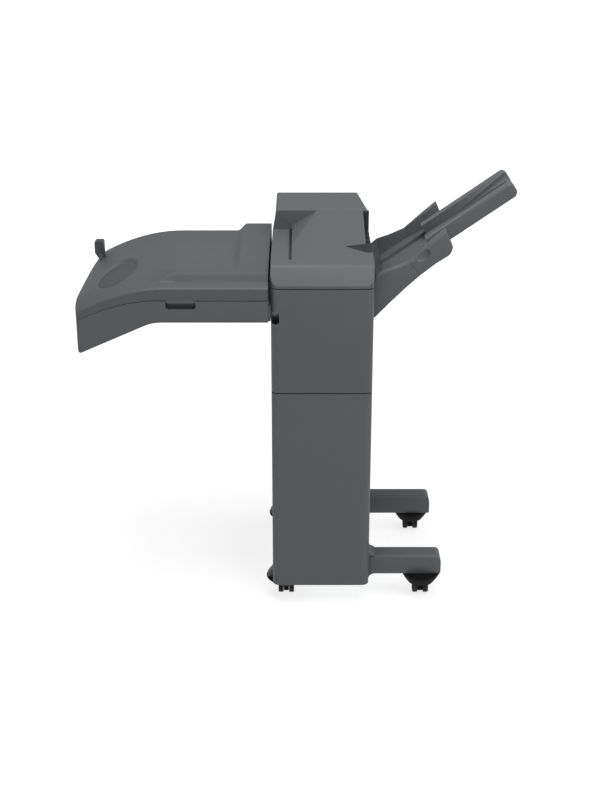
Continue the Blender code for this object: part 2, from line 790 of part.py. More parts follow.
def exit_guide():
    """The black guide in the slot at the ramp's right end, ribbed along its floor."""
    left = HALF_WIDTH - GUIDE_SLOT_WIDTH + SEAT
    right = HALF_WIDTH - SEAT
    floor = GUIDE_SLOT_FLOOR + SEAT
    front = GUIDE_SLOT_START + SEAT
    rear = HOOD_FRONT - SEAT
    top = HOOD_HEIGHT - GUIDE_SHEET
    outline = [
        (front, floor), (rear, floor), (rear, top), (rear - GUIDE_SHEET, top),
        (rear - GUIDE_SHEET, floor + GUIDE_SHEET), (front, floor + GUIDE_SHEET),
    ]
    guide = prism("exit_guide", [outline], "X", left, right, BLACK_MOULDING)
    pitch = (rear - front) / (GUIDE_RIBS + 1)
    for rib in range(GUIDE_RIBS):
        middle = front + pitch * (rib + 1)
        join(guide, box(f"guide_rib_{rib}",
                        (left, middle - GUIDE_SHEET / 2, floor + GUIDE_SHEET / 2),
                        (right, middle + GUIDE_SHEET / 2, floor + GUIDE_SHEET + GUIDE_RIB_HEIGHT)))
    return guide


# Frame

def base_pan():
    """The folded pan that the frame stands on and the casters bolt to."""
    side = INNER_HALF - SEAT
    front = COVER_CORNER_RADIUS
    rear = REAR_INSIDE - SEAT
    top = CABINET_BOTTOM + PAN_HEIGHT
    pan = box("base_pan", (-side, front, CABINET_BOTTOM), (side, rear, top), STEEL)
    inside = box("base_pan_inside",
                 (PAN_SHEET - side, front + PAN_SHEET, CABINET_BOTTOM + PAN_SHEET),
                 (side - PAN_SHEET, rear - PAN_SHEET, top + OVERRUN))
    cut(pan, inside)
    for depth in (CASTER_FRONT, CASTER_REAR):
        cut(pan, stem_hole("pan_stem_hole", CASTER_LEFT, depth, CABINET_BOTTOM))
    return pan


def plate_outline():
    side = INNER_HALF - SEAT
    return rectangle(-side, CABINET_BOTTOM + PAN_HEIGHT + SEAT, side, FRAME_TOP)


def front_frame_plate():
    outlines = [
        plate_outline(),
        rectangle(-WINDOW_HALF, STAPLE_WINDOW_LOW, WINDOW_HALF, STAPLE_WINDOW_HIGH - SHAFT_RADIUS,
                  WINDOW_RADIUS),
        rectangle(-WINDOW_HALF, LOWER_WINDOW_LOW, WINDOW_HALF, LOWER_WINDOW_HIGH, WINDOW_RADIUS),
        circle(ENTRANCE_PLACE, ENTRANCE_HEIGHT, SHAFT_RADIUS + SEAT),
        circle(EXIT_PLACE, EXIT_HEIGHT, SHAFT_RADIUS + SEAT),
        circle(EXIT_PLACE, idler_height(), IDLER_SHAFT_RADIUS + SEAT),
    ]
    return prism("front_frame_plate", outlines, "Y", FRAME_FRONT, FRAME_FRONT + FRAME_SHEET, STEEL)


def rear_frame_plate():
    outlines = [
        plate_outline(),
        rectangle(-WINDOW_HALF, LOWER_WINDOW_HIGH, WINDOW_HALF, STAPLE_WINDOW_LOW, WINDOW_RADIUS),
        circle(ENTRANCE_PLACE, ENTRANCE_HEIGHT, SHAFT_RADIUS + SEAT),
        circle(EXIT_PLACE, EXIT_HEIGHT, SHAFT_RADIUS + SEAT),
        circle(EXIT_PLACE, idler_height(), IDLER_SHAFT_RADIUS + SEAT),
        circle(MOTOR_PLACE, MOTOR_HEIGHT, MOTOR_SHAFT_RADIUS + SEAT),
    ]
    return prism("rear_frame_plate", outlines, "Y", FRAME_REAR, FRAME_REAR + FRAME_SHEET, STEEL)


def tie_bar(name, height):
    """A folded channel from the front plate to the rear plate, open downwards."""
    left = TIE_PLACE - TIE_WIDTH / 2
    right = TIE_PLACE + TIE_WIDTH / 2
    outline = [
        (left, height - TIE_DEPTH), (left + TIE_SHEET, height - TIE_DEPTH),
        (left + TIE_SHEET, height - TIE_SHEET), (right - TIE_SHEET, height - TIE_SHEET),
        (right - TIE_SHEET, height - TIE_DEPTH), (right, height - TIE_DEPTH),
        (right, height), (left, height),
    ]
    return prism(name, [outline], "Y", FRAME_FRONT + FRAME_SHEET + SEAT, FRAME_REAR - SEAT, STEEL)


# Sheet path

def idler_height():
    return EXIT_HEIGHT + EXIT_RADIUS + SEAT + IDLER_RADIUS


def roller_profile(start, end, shaft, tyre):
    """A shaft with a row of tyres, from its far end back to its near end."""
    profile = [(end, 0), (end, shaft)]
    for place in reversed(range(TYRE_COUNT)):
        middle = TYRE_FIRST + TYRE_PITCH * place
        profile += [
            (middle + TYRE_WIDTH / 2, shaft), (middle + TYRE_WIDTH / 2, tyre),
            (middle - TYRE_WIDTH / 2, tyre), (middle - TYRE_WIDTH / 2, shaft),
        ]
    return profile + [(start, shaft), (start, 0)]


def driven_roller(name, across, height, tyre):
    """A roller across the frame with its belt pulley behind the rear plate."""
    low = PULLEY_PLACE
    high = PULLEY_PLACE + PULLEY_WIDTH
    shaft = roller_profile(FRAME_FRONT - SHAFT_STAND_OFF, low, SHAFT_RADIUS, tyre)
    profile = [(high, 0), (high, PULLEY_RADIUS), (low, PULLEY_RADIUS), *shaft[1:]]
    return turned(name, profile, "Y", (across, 0, height), RUBBER, ROLLER_SIDES)


def entrance_roller():
    return driven_roller("entrance_roller", ENTRANCE_PLACE, ENTRANCE_HEIGHT, ENTRANCE_RADIUS)


def exit_roller():
    return driven_roller("exit_roller", EXIT_PLACE, EXIT_HEIGHT, EXIT_RADIUS)


def exit_idler():
    profile = roller_profile(FRAME_FRONT - SHAFT_STAND_OFF,
                             FRAME_REAR + FRAME_SHEET + SHAFT_STAND_OFF / 2,
                             IDLER_SHAFT_RADIUS, IDLER_RADIUS)
    return turned("exit_idler", profile, "Y", (EXIT_PLACE, 0, idler_height()), RUBBER,
                  ROLLER_SIDES)


def drive_wheels():
    return [
        (ENTRANCE_PLACE, ENTRANCE_HEIGHT, PULLEY_RADIUS),
        (MOTOR_PLACE, MOTOR_HEIGHT, PULLEY_RADIUS),
        (EXIT_PLACE, EXIT_HEIGHT, PULLEY_RADIUS),
    ]


def drive_belt():
    return belt("drive_belt", drive_wheels(), "Y", PULLEY_PLACE + SEAT,
                PULLEY_PLACE + PULLEY_WIDTH - SEAT, RUBBER)


def drive_motor():
    front = FRAME_REAR - SEAT - MOTOR_LENGTH
    rear = FRAME_REAR - SEAT
    motor = rod("drive_motor", (MOTOR_PLACE, front, MOTOR_HEIGHT), (MOTOR_PLACE, rear, MOTOR_HEIGHT),
                MOTOR_RADIUS, STEEL)
    bore = rod("drive_motor_bore", (MOTOR_PLACE, rear - MOTOR_LENGTH / 2, MOTOR_HEIGHT),
               (MOTOR_PLACE, rear + OVERRUN, MOTOR_HEIGHT), MOTOR_SHAFT_RADIUS + SEAT)
    return cut(motor, bore)


def motor_pulley():
    """The motor's own shaft with its pulley, turned in one."""
    start = FRAME_REAR - MOTOR_LENGTH / 3
    end = PULLEY_PLACE + PULLEY_WIDTH
    profile = [
        (end, 0), (end, PULLEY_RADIUS), (PULLEY_PLACE, PULLEY_RADIUS),
        (PULLEY_PLACE, MOTOR_SHAFT_RADIUS), (start, MOTOR_SHAFT_RADIUS), (start, 0),
    ]
    return turned("motor_pulley", profile, "Y", (MOTOR_PLACE, 0, MOTOR_HEIGHT), BLACK_MOULDING)


def compile_line(across):
    """Height of the compile tray's upper face."""
    share = (across - COMPILE_LOW_PLACE) / (COMPILE_HIGH_PLACE - COMPILE_LOW_PLACE)
    return COMPILE_LOW_HEIGHT + (COMPILE_HIGH_HEIGHT - COMPILE_LOW_HEIGHT) * share


def compile_tray():
    """The sloping plate where sheets gather, its low edge in the stapler's throat."""
    outline = [
        (COMPILE_LOW_PLACE, COMPILE_LOW_HEIGHT - COMPILE_SHEET),
        (COMPILE_HIGH_PLACE, COMPILE_HIGH_HEIGHT - COMPILE_SHEET),
        (COMPILE_HIGH_PLACE, COMPILE_HIGH_HEIGHT),
        (COMPILE_LOW_PLACE, COMPILE_LOW_HEIGHT),
    ]
    return prism("compile_tray", [outline], "Y", FRAME_FRONT + FRAME_SHEET + SEAT, FRAME_REAR - SEAT,
                 STEEL)


def jogger(name, wall, foot_end):
    """A fence that squares the sheets: an upright with a foot along the tray."""
    left = COMPILE_LOW_PLACE + JOGGER_MARGIN
    right = COMPILE_HIGH_PLACE - 2 * JOGGER_MARGIN
    lift = SEAT * 2
    upright = [
        (left, compile_line(left) + lift), (right, compile_line(right) + lift),
        (right, compile_line(right) + JOGGER_HEIGHT), (left, compile_line(left) + JOGGER_HEIGHT),
    ]
    foot = [
        (left, compile_line(left) + lift), (right, compile_line(right) + lift),
        (right, compile_line(right) + JOGGER_THICKNESS), (left, compile_line(left) + JOGGER_THICKNESS),
    ]
    low = min(wall, wall + JOGGER_THICKNESS)
    fence = prism(name, [upright], "Y", low, low + JOGGER_THICKNESS, BLACK_MOULDING,
                  (left, low, compile_line(left)))
    near = min(low, foot_end)
    far = max(low + JOGGER_THICKNESS, foot_end)
    return join(fence, prism(name + "_foot", [foot], "Y", near, far))


def front_jogger():
    wall = FRAME_FRONT + JOGGER_INSET
    return jogger("front_jogger", wall, wall - JOGGER_FOOT)


def rear_jogger():
    wall = FRAME_REAR - JOGGER_INSET
    return jogger("rear_jogger", wall, wall + JOGGER_FOOT)


def stapler_rail():
    return rod("stapler_rail", (RAIL_PLACE, FRAME_FRONT + FRAME_SHEET + SEAT, RAIL_HEIGHT),
               (RAIL_PLACE, FRAME_REAR - SEAT, RAIL_HEIGHT), RAIL_RADIUS, STEEL)


def stapler_span():
    """Left, bottom, right and top of the stapler seen from the front."""
    left = RAIL_PLACE - STAPLER_WIDTH / 2
    bottom = UPPER_TIE_HEIGHT + SLIDE_FIT
    return left, bottom, left + STAPLER_WIDTH, bottom + STAPLER_HEIGHT


def cartridge_floor():
    return RAIL_HEIGHT + RAIL_RADIUS + COVER_WALL


def stapler():
    """The stapler, bored for its rail, its throat to the right and its magazine to the front."""
    left, bottom, right, top = stapler_span()
    body = rectangle(left, bottom, right, top, STAPLER_CORNER)
    end = STAPLER_START + STAPLER_LENGTH
    carriage = prism("stapler", [body, circle(RAIL_PLACE, RAIL_HEIGHT, RAIL_RADIUS + SEAT)], "Y",
                     STAPLER_START, end, DARK_MOULDING, (RAIL_PLACE, STAPLER_START, RAIL_HEIGHT))
    half = CARTRIDGE_WIDTH / 2 + SEAT
    floor = cartridge_floor()
    pocket = box("stapler_pocket", (RAIL_PLACE - half, STAPLER_START - OVERRUN, floor),
                 (RAIL_PLACE + half, STAPLER_START + CARTRIDGE_LENGTH - CARTRIDGE_GRIP + SEAT,
                  floor + CARTRIDGE_HEIGHT))
    cut(carriage, pocket)
    throat = box("stapler_throat",
                 (right - THROAT_DEPTH, STAPLER_START - OVERRUN, COMPILE_LOW_HEIGHT - THROAT_BELOW),
                 (right + OVERRUN, end + OVERRUN, COMPILE_LOW_HEIGHT + THROAT_ABOVE))
    return cut(carriage, throat)


def staple_cartridge():
    half = CARTRIDGE_WIDTH / 2
    floor = cartridge_floor() + SEAT
    top = floor + CARTRIDGE_HEIGHT - 2 * SEAT
    start = STAPLER_START - CARTRIDGE_GRIP
    body = prism("staple_cartridge", [rectangle(
        RAIL_PLACE - half, floor, RAIL_PLACE + half, top, COVER_WALL)], "Y",
        start, start + CARTRIDGE_LENGTH, BLUE_MOULDING, (RAIL_PLACE, start, floor))
    grip = box("cartridge_grip_hollow",
               (RAIL_PLACE - half / 2, start - OVERRUN, floor + COVER_WALL),
               (RAIL_PLACE + half / 2, start + CARTRIDGE_GRIP / 2, top - COVER_WALL))
    return cut(body, grip)


def circuit_board():
    rear = FRAME_REAR - SEAT
    face = rear - BOARD_STAND_OFF
    half = BOARD_WIDTH / 2
    board = box("circuit_board", (-half, face - BOARD_THICKNESS, BOARD_LOW), (half, face, BOARD_HIGH),
                BOARD_GREEN)
    for across in (-half + BOARD_POST_INSET, half - BOARD_POST_INSET):
        for height in (BOARD_LOW + BOARD_POST_INSET, BOARD_HIGH - BOARD_POST_INSET):
            join(board, rod("board_post", (across, face - BOARD_THICKNESS / 2, height),
                            (across, rear, height), BOARD_POST_RADIUS))
    return board


# Tray lift

def lift_rods():
    bottom = CABINET_BOTTOM + PAN_SHEET + SEAT
    top = LIFT_BAR_HEIGHT + LIFT_BAR_THICKNESS
    made = []
    for name, depth in (("lift_rod_front", LIFT_ROD_FRONT), ("lift_rod_rear", LIFT_ROD_REAR)):
        made.append(rod(name, (LIFT_ROD_PLACE, depth, bottom), (LIFT_ROD_PLACE, depth, top),
                        LIFT_ROD_RADIUS, STEEL))
    return made


def lift_middle():
    return (LIFT_ROD_FRONT + LIFT_ROD_REAR) / 2


def lift_crossbar():
    """The bar that holds the rods' tops, with the upper pulley's axle on a lug."""
    left = LIFT_ROD_PLACE - LIFT_BAR_WIDTH / 2
    right = LIFT_ROD_PLACE + LIFT_BAR_WIDTH / 2
    start = FRAME_FRONT + FRAME_SHEET + SEAT
    end = FRAME_REAR - SEAT
    top = LIFT_BAR_HEIGHT + LIFT_BAR_THICKNESS
    outline = rectangle(left, start, right, end)
    holes = [circle(LIFT_ROD_PLACE, depth, LIFT_ROD_RADIUS + SEAT)
             for depth in (LIFT_ROD_FRONT, LIFT_ROD_REAR)]
    bar = prism("lift_crossbar", [outline, *holes], "Z", LIFT_BAR_HEIGHT, top, STEEL)
    middle = lift_middle()
    lug = box("lift_lug",
              (LIFT_PULLEY_PLACE - SEAT - LIFT_LUG, middle - LIFT_LUG_HALF,
               LIFT_PULLEY_TOP - LIFT_LUG_HALF),
              (LIFT_PULLEY_PLACE - SEAT, middle + LIFT_LUG_HALF,
               LIFT_BAR_HEIGHT + LIFT_BAR_THICKNESS / 2))
    join(bar, lug)
    axle = rod("lift_axle", (LIFT_PULLEY_PLACE - LIFT_LUG, middle, LIFT_PULLEY_TOP),
               (LIFT_PULLEY_PLACE + LIFT_PULLEY_WIDTH, middle, LIFT_PULLEY_TOP), LIFT_AXLE_RADIUS)
    return join(bar, axle)


def lift_pulley(name, height):
    bore = LIFT_AXLE_RADIUS + SEAT
    start = LIFT_PULLEY_PLACE
    end = LIFT_PULLEY_PLACE + LIFT_PULLEY_WIDTH
    profile = [(end, bore), (end, LIFT_PULLEY_RADIUS), (start, LIFT_PULLEY_RADIUS), (start, bore)]
    return turned(name, profile, "X", (0, lift_middle(), height), BLACK_MOULDING, hollow=True)


def lift_belt():
    wheels = [
        (lift_middle(), LIFT_PULLEY_BOTTOM, LIFT_PULLEY_RADIUS),
        (lift_middle(), LIFT_PULLEY_TOP, LIFT_PULLEY_RADIUS),
    ]
    return belt("lift_belt", wheels, "X", LIFT_PULLEY_PLACE + SEAT,
                LIFT_PULLEY_PLACE + LIFT_PULLEY_WIDTH - SEAT, RUBBER)


def lift_motor():
    """The lift motor on its foot, with the lower pulley's axle."""
    end = LIFT_PULLEY_PLACE - SEAT
    start = end - LIFT_MOTOR_LENGTH
    middle = lift_middle()
    motor = rod("lift_motor", (start, middle, LIFT_PULLEY_BOTTOM), (end, middle, LIFT_PULLEY_BOTTOM),
                LIFT_MOTOR_RADIUS, STEEL)
    half = LIFT_MOTOR_FOOT / 2
    foot = box("lift_motor_foot", (start + SHAFT_RADIUS, middle - half, CABINET_BOTTOM + PAN_SHEET + SEAT),
               (end - SHAFT_RADIUS, middle + half, LIFT_PULLEY_BOTTOM))
    join(motor, foot)
    axle = rod("lift_motor_axle", (end - LIFT_LUG, middle, LIFT_PULLEY_BOTTOM),
               (LIFT_PULLEY_PLACE + LIFT_PULLEY_WIDTH, middle, LIFT_PULLEY_BOTTOM), LIFT_AXLE_RADIUS)
    return join(motor, axle)


def lift_carriage():
    """The carriage on the two rods: a plate, two bored bosses, two arms and the belt's clamp."""
    right = INNER_HALF - CARRIAGE_GAP
    left = right - CARRIAGE_PLATE
    bottom = CARRIAGE_TOP - CARRIAGE_HEIGHT
    start = LIFT_ROD_FRONT - CARRIAGE_END
    end = LIFT_ROD_REAR + CARRIAGE_END
    plate = box("lift_carriage", (left, start, bottom), (right, end, CARRIAGE_TOP), STEEL,
                (LIFT_ROD_PLACE, lift_middle(), CARRIAGE_TOP))
    arm_low = bottom + (CARRIAGE_HEIGHT - ARM_HEIGHT) / 2
    for depth in (LIFT_ROD_FRONT, LIFT_ROD_REAR):
        boss_left = LIFT_ROD_PLACE - CARRIAGE_BOSS / 2
        half = CARRIAGE_BOSS / 2
        join(plate, box("carriage_boss", (boss_left, depth - half, bottom),
                        (left + CARRIAGE_PLATE / 2, depth + half, CARRIAGE_TOP)))
        join(plate, box("carriage_arm", (right - CARRIAGE_PLATE / 2, depth - ARM_WIDTH / 2, arm_low),
                        (HALF_WIDTH + TRAY_ROOT - SEAT, depth + ARM_WIDTH / 2, arm_low + ARM_HEIGHT)))
        cut(plate, rod("carriage_bore", (LIFT_ROD_PLACE, depth, bottom - OVERRUN),
                       (LIFT_ROD_PLACE, depth, CARRIAGE_TOP + OVERRUN), LIFT_ROD_RADIUS + SEAT))
    strand = lift_middle() + LIFT_PULLEY_RADIUS
    clamp = box("belt_clamp", (LIFT_PULLEY_PLACE + LIFT_PULLEY_WIDTH, strand - LIFT_LUG, bottom),
                (left + CARRIAGE_PLATE / 2, strand + CARRIAGE_BOSS / 2, bottom + CLAMP_HEIGHT))
    return join(plate, clamp)


# Output tray

def tray_root():
    return HALF_WIDTH + TRAY_ROOT


def tray_tip():
    return tray_root() + TRAY_REACH


def channel_line(across):
    """Height of the channel's floor, on which the extension slides."""
    foot = TRAY_TIP_LOW + TRAY_FLOOR
    return foot - (tray_tip() - across) * math.tan(TRAY_SLOPE)


def bed_line(across):
    return channel_line(across) + CHANNEL_DEPTH


def tray_under(inset):
    """The tray's curved underside from its tip back to its root."""
    root = tray_root()
    points = []
    for step in range(ROUND_STEPS + 1):
        share = 1 - step / ROUND_STEPS
        bow = math.sin(share * math.pi / 2) - share
        up = TRAY_ROOT_LOW + (TRAY_TIP_LOW - TRAY_ROOT_LOW) * (share + bow * TRAY_UNDER_SHARE)
        points.append((root + TRAY_REACH * share, up + inset))
    return points


def wing_top(inset):
    """The wing's upper edge from its root out to its tip, dipping then sweeping up."""
    root = tray_root()
    rise = TRAY_TIP_HIGH - TRAY_ROOT_HIGH
    points = []
    for across_share, up_share in WING_SHARES:
        points.append((root + TRAY_REACH * across_share, TRAY_ROOT_HIGH + rise * up_share - inset))
    return points


def tray_outline(inset=0):
    return [*wing_top(inset), (tray_tip() + TRAY_WALL - inset, TRAY_TIP_LOW + 4 * TRAY_WALL),
            *tray_under(inset)]


def bed_plan():
    """The bed from above: wide between the wings' thin roots, narrow between their broad tips."""
    left = tray_root() + TRAY_WALL
    right = tray_tip() + OVERRUN
    first, last = (tray_root() + TRAY_REACH * share for share in FLARE_SHARES)
    outline = []
    for edge, inwards in ((TRAY_START, 1), (TRAY_END, -1)):
        side = [(left, edge + inwards * TRAY_WING_ROOT), (first, edge + inwards * TRAY_WING_ROOT),
                (last, edge + inwards * TRAY_WING), (right, edge + inwards * TRAY_WING)]
        outline += side if inwards > 0 else reversed(side)
    return outline


def output_tray():
    """Two swept wings joined by a sloping bed, with the extension's channel down its middle."""
    tray = prism("output_tray", [tray_outline()], "Y", TRAY_START, TRAY_END, DARK_MOULDING,
                 (tray_root(), lift_middle(), TRAY_ROOT_LOW))
    left = tray_root() + TRAY_WALL
    right = tray_tip() + OVERRUN
    bed = [(left, bed_line(left)), (right, bed_line(right)),
           (right, TRAY_TIP_HIGH + OVERRUN), (left, TRAY_TIP_HIGH + OVERRUN)]
    above = prism("tray_bed", [bed], "Y", TRAY_START, TRAY_END)
    overlap(above, prism("tray_bed_plan", [bed_plan()], "Z", TRAY_ROOT_LOW, TRAY_TIP_HIGH + OVERRUN))
    cut(tray, above)
    channel = [(left + TRAY_WALL, channel_line(left + TRAY_WALL)), (right, channel_line(right)),
               (right, TRAY_TIP_HIGH + OVERRUN), (left + TRAY_WALL, TRAY_TIP_HIGH + OVERRUN)]
    cut(tray, prism("tray_channel", [channel], "Y", CHANNEL_START, CHANNEL_END))
    for cutter in tray_hollows():
        cut(tray, cutter)
    return tray


def tray_hollows():
    """The hollows that open downwards under the wings' tips, the bed and the channel."""
    left = tray_root() + TRAY_WALL
    right = tray_tip() - TRAY_WALL
    low = TRAY_ROOT_LOW - OVERRUN
    flare = tray_root() + TRAY_REACH * FLARE_SHARES[1] + TRAY_WALL
    tip = wing_top(TRAY_WALL)[-1]
    wing = [(flare, tip[1] - TRAY_WING), (tip[0], tip[1] - TRAY_WALL), (right, tip[1] - TRAY_WALL),
            (right, low), (flare, low)]
    bed = [(left, bed_line(left) - TRAY_WALL), (right, bed_line(right) - TRAY_WALL),
           (right, low), (left, low)]
    floor = [(left, channel_line(left) - TRAY_WALL), (right, channel_line(right) - TRAY_WALL),
             (right, low), (left, low)]
    front = TRAY_START + TRAY_WALL
    rear = TRAY_END - TRAY_WALL
    reach = TRAY_WING - 2 * TRAY_WALL
    spans = (
        (wing, front, front + reach),
        (bed, front, CHANNEL_START - TRAY_WALL),
        (floor, CHANNEL_START, CHANNEL_END),
        (bed, CHANNEL_END + TRAY_WALL, rear),
        (wing, rear - reach, rear),
    )
    return [prism(f"tray_hollow_{place}", [outline], "Y", start, end)
            for place, (outline, start, end) in enumerate(spans)]


def slope_frame(along, up):
    """A place along and square to the extension's slope, from its outer tip's foot."""
    tip_across = tray_tip() + EXTENSION_OUT * math.cos(TRAY_SLOPE)
    tip_height = channel_line(tip_across) + SEAT / math.cos(TRAY_SLOPE)
    across = tip_across + along * math.cos(TRAY_SLOPE) - up * math.sin(TRAY_SLOPE)
    return (across, tip_height + along * math.sin(TRAY_SLOPE) + up * math.cos(TRAY_SLOPE))


def extension_outline():
    corners = [
        (-EXTENSION_LENGTH, 0, 0), (0, 0, EXTENSION_RADIUS),
        (0, EXTENSION_HEIGHT, EXTENSION_RADIUS), (-EXTENSION_LENGTH, EXTENSION_HEIGHT, 0),
    ]
    return [slope_frame(along, up) for along, up in rounded(corners)]


def tray_extension():
    """The pull-out: two rails with rounded ends and a sunk web between them."""
    start = CHANNEL_START + EXTENSION_FIT
    end = CHANNEL_END - EXTENSION_FIT
    extension = prism("tray_extension", [extension_outline()], "Y", start, end, DARK_MOULDING,
                      (tray_tip(), lift_middle(), channel_line(tray_tip())))
    web = [slope_frame(along, up) for along, up in (
        (-EXTENSION_LENGTH - OVERRUN, EXTENSION_WEB), (OVERRUN, EXTENSION_WEB),
        (OVERRUN, EXTENSION_HEIGHT + OVERRUN), (-EXTENSION_LENGTH - OVERRUN, EXTENSION_HEIGHT + OVERRUN))]
    cut(extension, prism("extension_web", [web], "Y", start + EXTENSION_RAIL, end - EXTENSION_RAIL))
    notch = [slope_frame(along, up) for along, up in (
        (-EXTENSION_NOTCH, -OVERRUN), (OVERRUN, -OVERRUN),
        (OVERRUN, EXTENSION_HEIGHT), (-EXTENSION_NOTCH, EXTENSION_HEIGHT))]
    cut(extension, prism("extension_notch", [notch], "Y", start + EXTENSION_RAIL, end - EXTENSION_RAIL))
    reach = EXTENSION_LENGTH - TRAY_WALL
    hollow = [slope_frame(along, up) for along, up in (
        (-reach, -OVERRUN), (-EXTENSION_RADIUS, -OVERRUN),
        (-EXTENSION_RADIUS, EXTENSION_HEIGHT - TRAY_WALL), (-reach, EXTENSION_HEIGHT - TRAY_WALL))]
    for name, low in (("front", start + TRAY_WALL), ("rear", end - EXTENSION_RAIL + TRAY_WALL)):
        cut(extension, prism(f"extension_hollow_{name}", [hollow], "Y",
                             low, low + EXTENSION_RAIL - 2 * TRAY_WALL))
    return extension


# Transport

def droop(across):
    """How far the transport has bent down at a place on its left part."""
    share = max(0, (-across - DROOP_START) / DROOP_LENGTH)
    return DROOP * share * share


def lip(across):
    """How far the lid's lip reaches below its edge, less towards the drooping end."""
    share = max(0, (-across - DROOP_START) / DROOP_LENGTH)
    return LID_LIP - (LID_LIP - LID_LIP_TIP) * share


def seam_height(across):
    return LID_EDGE - lip(across) - droop(across)


def seam_line(inset):
    """The housing's upper edge, from the cabinet end to the drooping end."""
    count = 2 * ROUND_STEPS
    reach = TRANSPORT_REACH + END_BULGE - inset
    points = []
    for step in range(count + 1):
        across = -DROOP_START - (reach - DROOP_START) * step / count
        points.append((across, seam_height(across) - LID_SEAM))
    return points


def tip_height(across):
    """Height of the housing's sloping underside beyond its bend."""
    fall = (TRANSPORT_BOTTOM - TRANSPORT_TIP) / (TRANSPORT_REACH - TRANSPORT_BEND)
    return TRANSPORT_TIP + (across + TRANSPORT_REACH) * fall


def bulge(depth):
    """How far the drooping end swells out at a depth, most in its middle."""
    share = 2 * depth / TRANSPORT_DEPTH - 1
    return END_BULGE * (1 - share ** 4)


def transport_plan(inset):
    """The transport from above, with its swollen left end."""
    right = -HALF_WIDTH - TRANSPORT_GAP + (OVERRUN if inset else 0)
    outline = [(right, inset), (right, TRANSPORT_DEPTH - inset)]
    for step in range(END_STEPS + 1):
        depth = TRANSPORT_DEPTH * (1 - step / END_STEPS)
        held = min(TRANSPORT_DEPTH - inset, max(inset, depth))
        outline.append((-TRANSPORT_REACH - bulge(depth) + inset, held))
    return outline


def housing_outline(inset):
    """The lower housing from the front: flat by the cabinet, then bending down to its tip."""
    right = -HALF_WIDTH - TRANSPORT_GAP - inset
    tip = -TRANSPORT_REACH - END_BULGE + inset
    lower = rounded([
        (tip, tip_height(tip) + inset, 0),
        (-TRANSPORT_BEND, TRANSPORT_BOTTOM + inset, TRANSPORT_BEND_RADIUS),
        (right, TRANSPORT_BOTTOM + inset, 0),
    ])
    upper = [(right, LID_EDGE - LID_LIP - LID_SEAM), *seam_line(inset)]
    if inset:
        upper = [(across, up + OVERRUN) for across, up in upper]
    return [*lower, *upper]


def hinge_places():
    """Each hinge's left end and the name of its side."""
    return (("left", -HINGE_LEFT), ("right", -HINGE_RIGHT))


def knuckle(name, start, end, low, high):
    """A hinge knuckle with the web that ties it to a wall, between two heights."""
    barrel = rod(name, (start, LID_AXIS_DEPTH, LID_AXIS_HEIGHT), (end, LID_AXIS_DEPTH, LID_AXIS_HEIGHT),
                 KNUCKLE_RADIUS)
    web = box(name + "_web", (start, TRANSPORT_DEPTH - LID_WALL / 2, low), (end, LID_AXIS_DEPTH, high))
    return join(barrel, web)


def hinge_bore(name, start):
    return rod(name, (start - OVERRUN, LID_AXIS_DEPTH, LID_AXIS_HEIGHT),
               (start + 2 * KNUCKLE_LENGTH + OVERRUN, LID_AXIS_DEPTH, LID_AXIS_HEIGHT),
               HINGE_PIN_RADIUS + SEAT)


def transport_housing():
    """The lower housing: a trough with its tip drooping, open at the top."""
    low = TRANSPORT_TIP - OVERRUN
    high = LID_EDGE + OVERRUN
    housing = prism("transport_housing", [housing_outline(0)], "Y", -OVERRUN,
                    TRANSPORT_DEPTH + OVERRUN, MOULDING)
    overlap(housing, prism("housing_plan", [transport_plan(0)], "Z", low, high))
    inside = prism("housing_inside", [housing_outline(TRANSPORT_WALL)], "Y", -OVERRUN,
                   TRANSPORT_DEPTH + OVERRUN)
    overlap(inside, prism("housing_inside_plan", [transport_plan(TRANSPORT_WALL)], "Z", low, high))
    cut(housing, inside)
    right = -HALF_WIDTH - TRANSPORT_GAP
    passage = box("housing_passage", (right - 2 * TRANSPORT_WALL, SLOT_START, SLOT_LOW - TRANSPORT_WALL),
                  (right + OVERRUN, SLOT_END, LID_EDGE))
    cut(housing, passage)
    inlet = box("sheet_inlet", (-INLET_LEFT, SLOT_START, TRANSPORT_TIP),
                (-INLET_RIGHT, SLOT_END, TRANSPORT_BOTTOM + 2 * TRANSPORT_WALL))
    cut(housing, inlet)
    flange = box("housing_flange",
                 (right - TRANSPORT_WALL / 2, FLANGE_INSET, TRANSPORT_BOTTOM + TRANSPORT_WALL),
                 (-HALF_WIDTH - SEAT, TRANSPORT_DEPTH - FLANGE_INSET, TRANSPORT_BOTTOM + FLANGE_HEIGHT))
    join(housing, flange)
    pocket = box("handle_pocket",
                 (-HANDLE_FROM - 2 * HANDLE_WALL, TRANSPORT_WALL / 2, HANDLE_LOW - HANDLE_WALL),
                 (-HANDLE_TO + 2 * HANDLE_WALL, HANDLE_DEPTH, LID_AXIS_HEIGHT - LID_SEAM - HANDLE_WALL))
    join(housing, pocket)
    hollow = box("handle_hollow",
                 (-HANDLE_FROM - HANDLE_FIT, -OVERRUN, HANDLE_LOW),
                 (-HANDLE_TO + HANDLE_FIT, HANDLE_DEPTH - HANDLE_WALL, LID_EDGE))
    cut(housing, hollow)
    for side, start in hinge_places():
        first = start + KNUCKLE_LENGTH + KNUCKLE_GAP
        join(housing, knuckle(f"housing_knuckle_{side}", first, first + KNUCKLE_LENGTH - KNUCKLE_GAP,
                              LID_AXIS_HEIGHT - LID_SEAM - KNUCKLE_WEB, LID_AXIS_HEIGHT - LID_SEAM))
        cut(housing, hinge_bore(f"housing_bore_{side}", start))
    return housing


def smooth(share):
    share = min(1, max(0, share))
    return share * share * (3 - 2 * share)


